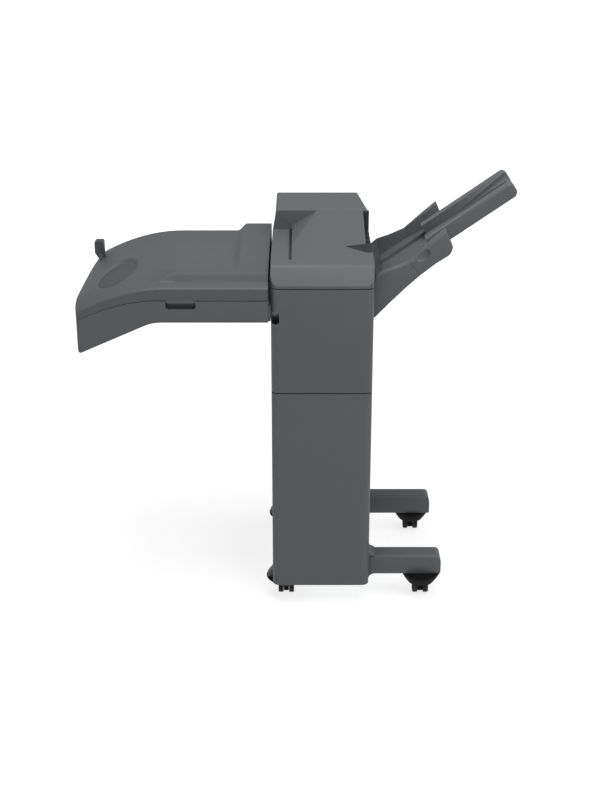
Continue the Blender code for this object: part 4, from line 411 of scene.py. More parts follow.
# The notch for a finger that opens the door.
notch_width, notch_low, notch_high, notch_radius = 0.022, 0.832, 0.864, 0.006
cut_away(door, round_block(
    "notch_tool", (door_low.x - cover_corner, door_low.y - cover_corner, notch_low),
    (door_low.x + notch_width, door_low.y + cover_corner + cover_wall, notch_high),
    notch_radius, 1))
# Bores for the steel pins that the door turns on.
pin_inset, pin_depth, pin_reach, pin_bore = 0.007, 0.030, 0.012, 0.0028
pin = (door_high.x - pin_inset, door_low.y + pin_depth)
for level, cover in ((door_low.z, door), (door_high.z, door), (door_low.z, lower_cover)):
    cut_away(cover, drum("pin_tool", (*pin, level - pin_reach), (*pin, level + pin_reach),
                         pin_bore))
finish(door, charcoal, "door", "front_door")
finish(lower_cover, charcoal, "cabinet", "lower_front_cover")
# Ribs moulded across the door's inner face keep it flat.
rib_inset, rib_reach, rib_thickness, rib_start, rib_pitch = 0.0175, 0.009, 0.0016, 0.045, 0.049
for place in range(5):
    level = door_low.z + rib_start + rib_pitch * place
    rib = round_block(f"door_rib_{place}",
                      (door_low.x + rib_inset, door_low.y + cover_wall - 0.0003, level),
                      (door_high.x - rib_inset, door_low.y + rib_reach, level + rib_thickness),
                      0.0006, 0, 2)
    finish(rib, charcoal, "door")
dress(sheet_steel, "door_pin_lower", "door_pin_upper")


# The side and rear covers.
# Three flat ABS covers close the cabinet. The left one has the slot that sheets enter by,
# the right one the slots that the tray's arms rise in. Screws hold the rear one.

def copied(node, name, flatness=1.0):
    """A copy of a node of the frame, with its triangles joined into whole faces."""
    piece = twin_of(frame["nodes"][node], name)
    pick(piece, "VERT")
    bpy.ops.mesh.remove_doubles(threshold=0.00001)
    bpy.ops.mesh.dissolve_limited(angle_limit=math.radians(flatness))
    put_down(piece)
    return piece


def rounded(node, name, material, body, width, steps=2, angle=35, flatness=1.0):
    """A copy of a node with its edges rounded, finished and put in the node's place."""
    piece = copied(node, name, flatness)
    soften(piece, width, steps, angle)
    finish(piece, material, body, node)


for node, width in (("left_side_cover", 0.0006), ("right_side_cover", 0.0006),
                    ("rear_cover", 0.0008)):
    rounded(node, f"{node}_panel", charcoal, "cabinet", width, flatness=0.5)

plated = plated_sheet("zinc_plated_screw", "8E9193", 0.004)
rear_low, rear_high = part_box("rear_cover")
screw_inset, screw_low, screw_pitch = 0.016, 0.10, 0.40
head_radius, head_start, head_end = 0.0042, 0.0016, 0.0002
driver_half = Vector((0.0024, 0.0010, 0.00045))
screw_x = rear_low.x + screw_inset
screw = drum("rear_screw_0", (screw_x, rear_high.y - head_start, screw_low),
             (screw_x, rear_high.y - head_end, screw_low), head_radius, 24)
soften(screw, 0.0006, 2)
# A cross driver's two blades leave their recess in the head.
for turn in (0, 90):
    driver = block("driver_tool", -driver_half, driver_half)
    pick(driver, "FACE")
    bpy.ops.transform.rotate(value=math.radians(turn), orient_axis="Y",
                             center_override=(0, 0, 0))
    bpy.ops.transform.translate(value=(screw_x, rear_high.y, screw_low))
    put_down(driver)
    cut_away(screw, driver)
across = rear_high.x - rear_low.x - 2 * screw_inset
for number in range(1, 6):
    twin = twin_of(screw, f"rear_screw_{number}")
    pick(twin, "VERT")
    bpy.ops.transform.translate(value=(across * (number % 2), 0, screw_pitch * (number // 2)))
    finish(twin, plated, "cabinet")
finish(screw, plated, "cabinet")


# The top cover.
# One deep ABS moulding: a bevelled front, a shelf that ramps up into a hood over the exit
# rollers, a hollow on the left and a slot for the black exit guide on the right.

top = copied("top_cover", "top_cover_shell")
top_low, top_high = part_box("top_cover")
hood_front, hood_radius, hood_lean = 0.060, 0.0085, 0.008


def hood_edge(edge):
    """An outer edge of the hood's top, or the one up its left side."""
    first, last = (corner.co for corner in edge.verts)
    if len(edge.link_faces) != 2 or edge.calc_face_angle(0) < 0.6 or not edge.is_convex:
        return False
    if near(first.x, top_low.x, 0.0003) and near(last.x, top_low.x, 0.0003):
        return min(first.z, last.z) > top_high.z - 0.050 and min(first.y, last.y) > hood_front
    level = near(first.z, top_high.z, 0.0005) and near(last.z, top_high.z, 0.0005)
    return level and (near(first.x, last.x, 0.030) and abs(first.y - last.y) > 0.05
                      or near(first.y, last.y) and first.y > top_high.y - 0.01)


pick(top, "EDGE", hood_edge)
bevel(hood_radius, 6)
# The hood's left side leans in towards its top.
pick(top, "VERT", lambda corner: corner.co.z > top_high.z - hood_radius - 0.001
     and near(corner.co.x, top_low.x, hood_radius + 0.001) and corner.co.y > hood_front)
bpy.ops.transform.translate(value=(hood_lean, 0, 0))
soften(top, 0.0022, 4, 26)
finish(top, charcoal, "cabinet", "top_cover", angle=30)

# Black acetal: the exit guide. A black strip along the ramp's left step and a black wedge at the
# guide's foot use it as painted shade.
black = moulded("black_acetal", "1B1B1C", "3A3A3B", 0.0018, 0.36, 0.52)
# The strip is painted shade: a black block where the ramp's left step lies in shade.
step_shade_left, step_shade_right, step_shade_front, step_shade_rear = -0.0185, -0.0112, -0.2240, 0.0735
step_shade_low, step_shade_high = 0.9840, 0.9893
step_shade = block("ramp_step_painted_shade", (step_shade_left, step_shade_front, step_shade_low), (step_shade_right, step_shade_rear, step_shade_high))
soften(step_shade, 0.0008, 2)
finish(step_shade, black, "cabinet")
rounded("exit_guide", "exit_guide_strip", black, "cabinet", 0.0005, flatness=0.5)
# A black wedge on the ramp at the guide's foot is a painted shadow; it narrows to the left.
shadow_wedge_plan = ((0.133, -0.134), (0.186, -0.1200), (0.2024, -0.1195), (0.2024, -0.166),
             (0.186, -0.168))
ramp_start, ramp_foot, ramp_rise, shadow_wedge_thickness = -0.1707, 0.9907, 0.213, 0.0024
shadow_wedge = begin("exit_guide_painted_shadow", bpy.ops.mesh.primitive_circle_add, vertices=len(shadow_wedge_plan),
             radius=1, fill_type="NGON")
for corner, (across, depth) in zip(shadow_wedge.data.vertices, shadow_wedge_plan):
    corner.co = (across, depth, ramp_foot + ramp_rise * (depth - ramp_start))
face_out(shadow_wedge)
turned_down = shadow_wedge.data.polygons[0].normal.z < 0
settle(shadow_wedge, "SOLIDIFY", thickness=shadow_wedge_thickness, offset=1 if turned_down else -1)
finish(shadow_wedge, black, "cabinet")

# Foam closes the seam under the cover: a U on the door's top, a strip on each side's rim.
foam_inset, foam_width, foam_start, foam_end = 0.012, 0.004, 0.006, 0.041
strip_inset, strip_width, strip_start, strip_end = 0.0006, 0.0016, 0.2580, 0.2865
seam_low, seam_high = door_high.z, top_low.z - 0.0003
foam = block("door_seal", (top_low.x + foam_inset, top_low.y + foam_start, seam_low),
             (top_high.x - foam_inset, top_low.y + foam_end, seam_high))
cut_away(foam, block("seal_tool", (top_low.x + foam_inset + foam_width,
                                   top_low.y + foam_start + foam_width, seam_low - 0.01),
                     (top_high.x - foam_inset - foam_width, top_low.y + foam_end + 0.02,
                      seam_high + 0.01)))
finish(foam, black, "door")
for side, start in (("left", top_low.x + strip_inset),
                    ("right", top_high.x - strip_inset - strip_width)):
    foam = block(f"rear_seal_{side}", (start, strip_start, seam_low),
                 (start + strip_width, strip_end, seam_high))
    finish(foam, black, "cabinet")


# The output tray.
# A dark ABS moulding that hangs on the lift. Its two wings are thin at the root and flare
# to broad pads at the tip, with the extension's channel between them. A thumb dish and a
# mould joint mark each wing's outer face.

# The tray's grey is the cabinet's charcoal made paler: painted light that lifts the shade in the
# tray's trough.
tray_paled_charcoal = moulded("charcoal_abs_paled_for_shade", "636467", "7F8082", 0.0022, 0.50, 0.55)
tray = copied("output_tray", "output_tray_shell")
tray_low, tray_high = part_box("output_tray")
crest_radius, tip_fall = 0.0095, 0.075


def wing_crest(edge):
    """The edge between a wing's outer face and its top or its tip."""
    faces = edge.link_faces
    outside = all(near(corner.co.y, tray_low.y) or near(corner.co.y, tray_high.y)
                  for corner in edge.verts)
    return len(faces) == 2 and outside and edge.is_convex and (
        max(face.normal.z for face in faces) > 0.3 or min(corner.co.z for corner in edge.verts)
        > tray_high.z - tip_fall and max(face.normal.x for face in faces) > 0.8)


pick(tray, "EDGE", wing_crest)
bevel(crest_radius, 6)
put_down(tray)
dish_place, dish_size, dish_slope = (0.333, 0.990), (0.0205, 0.0062, 0.0140), -35
joint_place, joint_slope = (0.305, 0.962), -40
joint_half, joint_sunk, joint_low, joint_high = 0.0007, 0.0012, -0.030, 0.009
for wall in (tray_low.y, tray_high.y):
    thumb = begin("thumb_tool", bpy.ops.mesh.primitive_uv_sphere_add, segments=48,
                  ring_count=24, radius=1)
    joint = block("joint_tool", (-joint_half, -joint_sunk, joint_low),
                  (joint_half, joint_sunk, joint_high))
    thumb.scale = dish_size
    for tool, (across, height), lean in ((thumb, dish_place, dish_slope),
                                         (joint, joint_place, joint_slope)):
        tool.rotation_euler = (0, math.radians(lean), 0)
        tool.location = (across, wall, height)
        take(tool)
        bpy.ops.object.transform_apply()
    cut_away(tray, thumb, joint)
soften(tray, 0.0016, 3, 28)
finish(tray, tray_paled_charcoal, "tray", "output_tray", angle=34)


# The tray extension.
# Two hollow rails with full outer corners and a sunk web between them, moulded together in
# the tray's ABS. It slides in the tray's channel to carry long sheets.

slope = math.radians(35)
rise = Vector((math.cos(slope), 0, math.sin(slope)))
square = Vector((-math.sin(slope), 0, math.cos(slope)))
extension_low, extension_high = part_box("tray_extension")
runner = copied("tray_extension", "tray_extension_shell")


def rail_crest(edge):
    """The edge between a rail's outer side and its top or its tip."""
    faces = edge.link_faces
    outside = [all(near(corner.co.y, wall, 0.0002) for corner in edge.verts)
               for wall in (extension_low.y, extension_high.y)]
    return any(outside) and len(faces) == 2 and any(
        abs(face.normal.y) < 0.5 and max(face.normal.dot(rise), face.normal.dot(square)) > 0.4
        for face in faces)


pick(runner, "EDGE", rail_crest)
bevel(crest_radius, 7)
soften(runner, 0.0012, 3, 40)
finish(runner, tray_paled_charcoal, "extension", "tray_extension", angle=34)


# The legs.
# Two hollow ABS outriggers carry the right-hand casters clear of the cabinet. Each flares
# in a round sweep above and below, where it meets the cover.

root_size, root_radius, root_sink = 0.018, 0.0178, 0.001
for node in ("front_leg", "rear_leg"):
    leg = copied(node, f"{node}_shell")
    soften(leg, 0.0014, 3, 30)
    leg_low, leg_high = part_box(node)
    for side, level, outward in (("upper", leg_high.z, 1), ("lower", leg_low.z, -1)):
        heights = sorted((level - outward * root_sink, level + outward * root_size))
        root = block(f"{node}_{side}_root", (leg_low.x, leg_low.y, heights[0]),
                     (leg_low.x + root_size, leg_high.y, heights[1]))
        hub_x, hub_z = leg_low.x + root_size, level + outward * root_size
        cut_away(root, drum("scoop_tool", (hub_x, leg_low.y - 0.01, hub_z),
                            (hub_x, leg_high.y + 0.01, hub_z), root_radius, 96))
        soften(root, 0.0004, 2, 40)
        finish(root, charcoal, "cabinet")
    finish(leg, charcoal, "cabinet", node)


# The transport housing.
# A trough of charcoal ABS that bridges from the printer to the cabinet and bends down at
# its left end. Its lower edges are well rounded and a grip recess is sunk in its front.

hinges = {joint["name"]: Vector(joint["pos_m"])
          for joint in frame["record"]["behaviour"]["joints"] if "pos_m" in joint}
lid_low, lid_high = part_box("transport_lid")
lid_right, lid_front, lid_depth = lid_high.x, lid_low.y, 0.560
end_swell, parting = 0.017, 0.0042
lid_reach = lid_high.x - lid_low.x - end_swell
bend_from, bend_length, bend_fall = 0.2635, 0.237, 0.066
edge_height, lip_height, lip_tip = 0.9235, 0.0265, 0.014
floor_height, knee, knee_radius, knee_slope = 0.835, 0.3055, 0.110, 0.441
groove, plan_radius, belly_radius, skin = 0.0006, 0.009, 0.011, 0.0025


def bent(away):
    """Share of the bend passed at a distance from the cabinet."""
    return max(0.0, (away - bend_from) / bend_length)


def swell(depth):
    """How far the left end swells out, most in its middle."""
    return end_swell * (1 - (2 * depth / lid_depth - 1) ** 4)


def seam(away):
    """Height of the lip's lower edge, which tapers towards the left end."""
    return edge_height - bend_fall * bent(away) ** 2 - lip_height \
        + (lip_height - lip_tip) * bent(away)


def underside(away):
    """Height of the housing's floor, level and then sloping down beyond its rounded knee."""
    angle = math.atan(knee_slope)
    start = knee - knee_radius * math.tan(angle / 2)
    if away < start:
        return floor_height
    if away < start + knee_radius * math.sin(angle):
        return floor_height - knee_radius + math.sqrt(knee_radius ** 2 - (away - start) ** 2)
    return floor_height - (away - knee) * knee_slope


def places(start, whole, count, rounded_start):
    """Distances across a net, set close together where its border is rounded."""
    turns = [plan_radius * (1 - math.cos(math.pi / 2 * step / 6)) for step in range(6)]
    first = start + plan_radius * rounded_start
    middle = [first + (whole - plan_radius - first) * step / count for step in range(count + 1)]
    return [start + turn for turn in turns if rounded_start] + middle \
        + [whole - turn for turn in reversed(turns)]


def laid_net(name, columns, rows, height, rounding):
    """A net over the transport's plan, with round corners and a rounded outer border."""
    aways = places(parting, lid_reach, columns, False)
    depths = places(0, lid_depth, rows, True)
    net = begin(name, bpy.ops.mesh.primitive_grid_add, x_subdivisions=len(aways) - 1,
                y_subdivisions=len(depths) - 1, size=1)
    for corner in net.data.vertices:
        away = aways[round((0.5 - corner.co.x) * (len(aways) - 1))]
        depth = depths[round((0.5 + corner.co.y) * (len(depths) - 1))]
        along = max(0.0, 1 - (lid_reach - away) / plan_radius)
        across = max(0.0, 1 - min(depth, lid_depth - depth) / plan_radius)
        bow, bulge = (along * math.sqrt(1 - across ** 2 / 2),
                      across * math.sqrt(1 - along ** 2 / 2))
        away -= plan_radius * (along - bow)
        depth += plan_radius * (across - bulge) * (1 if depth < lid_depth / 2 else -1)
        turn = 1 - math.sqrt(1 - min(1.0, bow ** 2 + bulge ** 2))
        shown = away + swell(depth) * min(1.0, bent(away)) ** 2
        corner.co = (lid_right - shown, lid_front + depth,
                     height(shown, depth) + rounding * turn)
    return net


def turned_rim(net, height):
    """Carry the net's border up or down to the seam as a wall."""
    pick(net, "EDGE", lambda edge: edge.is_boundary)
    bpy.ops.mesh.extrude_region_move()
    form = bmesh.from_edit_mesh(net.data)
    for corner in form.verts:
        if corner.select:
            corner.co.z = height(lid_right - corner.co.x)
    bmesh.update_edit_mesh(net.data)
    put_down(net)


housing = laid_net("transport_housing_shell", 60, 36, lambda away, depth: underside(away),
                   belly_radius)
turned_rim(housing, lambda away: seam(away) - 0.001 - groove)
face_out(housing)
# The floor has to face down before the shell gets its wall.
if sum(face.normal.z for face in housing.data.polygons
       if face.center.z < floor_height + 0.001) > 0:
    pick(housing, "FACE")
    bpy.ops.mesh.flip_normals()
settle(housing, "SOLIDIFY", thickness=cover_wall, offset=-1)
grip_left, grip_right, grip_radius, grip_side = -0.3367, -0.2587, 0.0068, 0.0022
grip_low, grip_high, grip_back, grip_wall = 0.8735, 0.8935, lid_front + 0.018, 0.002
pocket = block("grip_pocket",
               (grip_left - grip_side, lid_front + cover_wall / 2, grip_low - grip_wall),
               (grip_right + grip_side, grip_back + grip_wall, grip_high))
for piece in (housing, pocket):
    cut_away(piece, round_block("grip_tool", (grip_left, lid_front - 0.01, grip_low),
                                (grip_right, grip_back, edge_height), grip_radius, 1, 8))
# Sheets come in through the floor and leave through the wall beside the cabinet.
sheet_front, sheet_rear = lid_front + 0.090, lid_front + 0.490
inlet_left, inlet_right, inlet_radius, inlet_high = -0.4192, -0.3932, 0.004, 0.862
passage_low, passage_high, passage_reach = 0.881, 0.906, 0.012
cut_away(housing, block("passage_tool", (lid_right - passage_reach, sheet_front, passage_low),
                        (lid_right + passage_reach, sheet_rear, edge_height)))
cut_away(housing, round_block("inlet_tool", (inlet_left, sheet_front, 0.70),
                              (inlet_right, sheet_rear, inlet_high), inlet_radius, 2))
soften(housing, 0.0006, 2, 40)
soften(pocket, 0.0004, 1, 40)
# The flange that the housing is screwed to the cabinet by.
flange_inset, flange_gap, flange_left, flange_right = 0.012, 0.002, 0.0060, 0.0021
flange = block("transport_flange", (lid_right - flange_left, lid_front + flange_inset,
                                    floor_height + flange_gap),
               (lid_right + flange_right, lid_front + lid_depth - flange_inset,
                passage_low - flange_gap))
soften(flange, 0.0006, 2)
# A tongue stands behind the seam on each side, inside the lid's skirt.
tongue_inset, tongue_wall, tongue_rise, tongue_drop = 0.0029, 0.0012, 0.0045, 0.0070
tongue_end = lid_reach - 0.012
for side, level in (("front", lid_front + tongue_inset),
                    ("rear", lid_front + lid_depth - tongue_inset)):
    tongue = begin(f"seam_tongue_{side}", bpy.ops.mesh.primitive_grid_add, x_subdivisions=90,
                   y_subdivisions=1, size=1)
    for corner in tongue.data.vertices:
        away = parting + (tongue_end - parting) * (0.5 - corner.co.x)
        corner.co = (lid_right - away, level,
                     seam(away) + (tongue_rise if corner.co.y > 0 else -tongue_drop))
    settle(tongue, "SOLIDIFY", thickness=tongue_wall, offset=-1 if side == "front" else 1)
    finish(tongue, charcoal, "cabinet")
finish(housing, charcoal, "cabinet", "transport_housing", angle=32)
finish(pocket, charcoal, "cabinet")
finish(flange, charcoal, "cabinet")


# The transport lid.
# One ABS skin over the sheet path, hinged at the rear. A shoulder, a ridge and a bed run
# along it, it rises in a collar by the cabinet, bends down at its left end with the housing,
# and has a wide dished hollow for the hand in front of the stop.

front_rise, rear_rise, collar_rise, tallest = 0.0070, 0.010, 0.021, 0.0445
shoulder_rise, riser_rise, crest_rise, swept_rise = 0.0080, 0.0180, 0.0040, 0.0150
shoulder_depth, riser_from, riser_depth, crest_from, crest_depth = (
    0.034, 0.030, 0.012, 0.038, 0.050)
swept_from, swept_length, swept_depth, bed_from, bed_depth = 0.235, 0.080, 0.120, 0.070, 0.490
collar_end, collar_length = 0.1035, 0.028
dish_away, dish_depth, dish_half_width, dish_half_depth, dish_sink, dish_rim = (
    0.4155, 0.192, 0.058, 0.130, 0.0090, 0.15)


def smooth(share):
    """A share that starts and ends gently."""
    share = min(1.0, max(0.0, share))
    return share * share * (3 - 2 * share)


def lid_rise(away, depth):
    """The skin's rise above its front edge: shoulder, riser, crest and fall to the rear."""
    front = (front_rise + shoulder_rise * smooth(depth / shoulder_depth)
             + riser_rise * smooth((depth - riser_from) / riser_depth)
             + crest_rise * smooth((depth - crest_from) / crest_depth))
    swept = front_rise + swept_rise * math.sin(math.pi / 2 * min(1.0, depth / swept_depth))
    top = front + (swept - front) * smooth((away - swept_from) / swept_length)
    passed = (depth - bed_from) / bed_depth
    return top + (rear_rise - top) * (smooth(passed) + max(0.0, passed)) / 2


def dish(away, depth):
    """The hand hollow: an oval with a firm rim and a flat floor."""
    reach = math.hypot((away - dish_away) / dish_half_width,
                       (depth - dish_depth) / dish_half_depth)
    return dish_sink * smooth((1 - reach) / dish_rim)


def lid_top(away, depth):
    """Height of the skin, with its bend, its collar and its hollow."""
    collar = smooth((collar_end - away) / collar_length) * smooth(depth / (lid_depth / 2))
    rise = min(tallest, lid_rise(away, depth) + collar_rise * collar)
    return edge_height - bend_fall * bent(away) ** 2 + rise - dish(away, depth)


lid_grey = moulded("charcoal_abs_of_lid", "58595B", "7E7F80", 0.0022,
                   0.54, 0.58)
lid = laid_net("transport_lid_skin", 112, 150, lid_top, -0.0040)
turned_rim(lid, lambda away: seam(away + skin) + groove)
settle(lid, "SOLIDIFY", thickness=skin, offset=-1)
cut_away(lid, block("passage_tool", (lid_right - passage_reach, sheet_front, passage_low - 0.001),
                    (lid_right + passage_reach, sheet_rear, passage_high)))
finish(lid, lid_grey, "lid", "transport_lid", angle=40)

# A darker disc on the hollow's floor is painted shade: it stands for the shade in the hand hollow.
hollow_shade = moulded("hollow_painted_shade", "4E4F51", "606163", 0.0016,
                     0.60, 0.68)
pad_share, pad_proud, pad_thickness = 0.84, 0.0008, 0.0012
shade_disc = begin("hollow_painted_shade_disc", bpy.ops.mesh.primitive_circle_add, vertices=72, radius=1,
            fill_type="NGON")
for _ in range(4):
    pick(shade_disc, "FACE", lambda face: len(face.verts) > 8)
    bpy.ops.mesh.inset(thickness=0.22)
put_down(shade_disc)
for corner in shade_disc.data.vertices:
    away = dish_away + pad_share * dish_half_width * corner.co.x
    depth = dish_depth + pad_share * dish_half_depth * corner.co.y
    corner.co = (lid_right - away, lid_front + depth, lid_top(away, depth) + pad_proud)
face_out(shade_disc)
settle(shade_disc, "SOLIDIFY", thickness=pad_thickness, offset=-1)
soften(shade_disc, 0.0003, 2)
finish(shade_disc, hollow_shade, "lid")

# The tab that the hand pulls hangs from the lip over the grip recess.
tab_margin, tab_low, tab_high, tab_radius = 0.0015, 0.8893, 0.9080, 0.0070
tab_front, tab_back = lid_front + 0.0002, lid_front + 0.0030
tab = round_block("lid_pull_tab", (grip_left + tab_margin, tab_front, tab_low),
                  (grip_right - tab_margin, tab_back, tab_high), tab_radius, 1, 8)
soften(tab, 0.0013, 3)
finish(tab, charcoal, "lid")

# Knuckles for the steel hinge rod, moulded in turn on the lid and the housing.
axis_depth, axis_height = hinges["lid_hinge"].y, hinges["lid_hinge"].z
knuckle_length, knuckle_gap, knuckle_radius, knuckle_bore = 0.028, 0.001, 0.0042, 0.0021
web_front, web_rear = axis_depth - 0.0055, axis_depth - 0.0026
for side, start in (("left", -0.29117), ("right", -0.13617)):
    middle, last_end = start + knuckle_length, start + 2 * knuckle_length
    for owner, body, first, last, low, high in (
            ("lid", "lid", start, middle, 0.0003, 0.0030),
            ("housing", "cabinet", middle + knuckle_gap, last_end, -0.0040, -0.0010)):
        barrel = drum(f"{owner}_knuckle_{side}", (first, axis_depth, axis_height),
                      (last, axis_depth, axis_height), knuckle_radius, 40)
        cut_away(barrel, drum("bore_tool", (first - 0.01, axis_depth, axis_height),
                              (last + 0.01, axis_depth, axis_height), knuckle_bore, 24))
        web = block(f"{owner}_web_{side}", (first, web_front, axis_height + low),
                    (last, web_rear, axis_height + high))
        for piece in (barrel, web):
            soften(piece, 0.0004, 2)
            finish(piece, charcoal, body)
dress(plated, "lid_hinge_rod")


# The paper stop.
# A dark ABS post at the drooping end, round at its foot and open at its left. It turns on
# moulded pins between two lugs of the lid and folds down on to it.

near_black = moulded("graphite_abs", "444547", "626365", 0.0022, 0.44, 0.54)
rounded("paper_stop", "paper_stop_post", near_black, "stop", 0.0009, 3, 40)
stop_low, stop_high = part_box("paper_stop")
stop_pin = hinges["stop_hinge"]
lug_half, lug_thickness, lug_overlap, lug_drop, lug_rise, lug_bore = (
    0.008, 0.005, 0.0003, 0.0130, 0.0048, 0.0023)
lug_taper, lug_radius = 0.60, 0.003
for side, start in (("front", stop_low.y - lug_overlap),
                    ("rear", stop_high.y + lug_overlap - lug_thickness)):
    lug = block(f"stop_lug_{side}", (stop_pin.x - lug_half, start, stop_pin.z - lug_drop),
                (stop_pin.x + lug_half, start + lug_thickness, stop_pin.z + lug_rise))
    pick(lug, "VERT", lambda corner: corner.co.z > stop_pin.z)
    bpy.ops.transform.resize(value=(lug_taper, 1, 1), center_override=stop_pin)
    pick(lug, "EDGE", lambda edge: flat(edge, 0)
         and min(corner.co.z for corner in edge.verts) > stop_pin.z)
    bevel(lug_radius, 5)
    put_down(lug)
    cut_away(lug, drum("bore_tool", (stop_pin.x, start - 0.01, stop_pin.z),
                       (stop_pin.x, start + 0.02, stop_pin.z), lug_bore, 24))
    soften(lug, 0.0004, 2)
    finish(lug, charcoal, "lid")


# The casters.
# A black nylon bowl is screwed under each corner. Inside it a twin-wheel caster with grey
# rubber tyres on dished hubs turns on a stem, and its wheels on one axle.

nylon = moulded("black_nylon", "0C0C0D", "1C1C1D", 0.0018, 0.70, 0.80)
nylon.node_tree.nodes["Principled BSDF"].inputs["Specular IOR Level"].default_value = 0.12
rubber = moulded("grey_rubber", "1C1C1D", "2C2C2D", 0.0014, 0.72, 0.86)


def ringed(name, rings, sides):
    """A turned piece about Z: one circle drawn out through rings that end where they began."""
    radius, height = rings[0]
    piece = begin(name, bpy.ops.mesh.primitive_circle_add, vertices=sides, radius=radius,
                  location=(0, 0, height))
    bpy.ops.object.transform_apply()
    pick(piece, "EDGE")
    for wider, higher in rings[1:]:
        bpy.ops.mesh.extrude_region_move()
        bpy.ops.transform.resize(value=(wider / radius, wider / radius, 1),
                                 center_override=(0, 0, height))
        bpy.ops.transform.translate(value=(0, 0, higher - height))
        radius, height = wider, higher
    bpy.ops.mesh.select_all(action="SELECT")
    bpy.ops.mesh.remove_doubles(threshold=0.00005)
    face_out(piece)
    return piece


def moved(piece, name, turn, place):
    """A copy of a piece, turned and set down with its place in its mesh."""
    twin = twin_of(piece, name)
    twin.rotation_euler = turn
    twin.location = place
    take(twin)
    bpy.ops.object.transform_apply()
    return twin


def arc(radius, height, size, start, end, steps=5):
    """Rings of radius and height along part of a circle that is drawn out in height."""
    turns = [math.radians(start + (end - start) * step / steps) for step in range(steps + 1)]
    return [(radius + size[0] * math.cos(turn), height + size[1] * math.sin(turn))
            for turn in turns]


wheel_radius, wheel_width, wheel_gap = 0.0235, 0.014, 0.016
hub_radius, axle_radius, tyre_inset = 0.0160, 0.003, 0.0012
shoulder = (0.0023, 0.0030)
tread_radius = wheel_radius - shoulder[0]
tyre = ringed("tyre", [
    (hub_radius, tyre_inset), *arc(tread_radius, shoulder[1], shoulder, -90, 0),
    *arc(tread_radius, wheel_width - shoulder[1], shoulder, 0, 90),
    (hub_radius, wheel_width - tyre_inset), (hub_radius, tyre_inset)], 64)
# The hub's rings run out over its rim, down its dished face and up its boss to the bore.
hub = ringed("hub", [
    (hub_radius - 0.0002, 0.0020), (hub_radius - 0.0002, wheel_width - 0.0016),
    (hub_radius - 0.0012, wheel_width - 0.0010), (0.0136, wheel_width - 0.0026),
    (0.0064, wheel_width - 0.0034), (0.0056, wheel_width - 0.0008),
    (0.0044, wheel_width - 0.0002), (axle_radius, wheel_width - 0.0002), (axle_radius, 0.0020),
    (hub_radius - 0.0002, 0.0020)], 48)
cup_radius, mouth_radius, mouth_height = 0.0555, 0.0365, 0.041
cup_wall, stem_bore, left_cup_top, cup_rim = 0.002, 0.0053, 0.0607, 0.004
lug_half, lug_inset, lug_right, lug_radius = 0.018, 0.002, -0.0655, 0.006
guard_radius, guard_half, axle_half = 0.0190, 0.0072, wheel_gap / 2 + 0.0125


def cup_side(top, inset, steps):
    """Rings down a cup's side, which narrows faster and faster towards its mouth."""
    return [(cup_radius - inset - (cup_radius - mouth_radius) * (step / 8) ** 1.25,
             top - cup_rim - (top - cup_rim - mouth_height) * step / 8) for step in steps]


def on_axle(name, middle, half, radius, sides):
    """A drum along the wheels' axis, as long each way from the middle as its half."""
    reach = Vector((half, 0, 0))
    return drum(name, middle - reach, middle + reach, radius, sides)


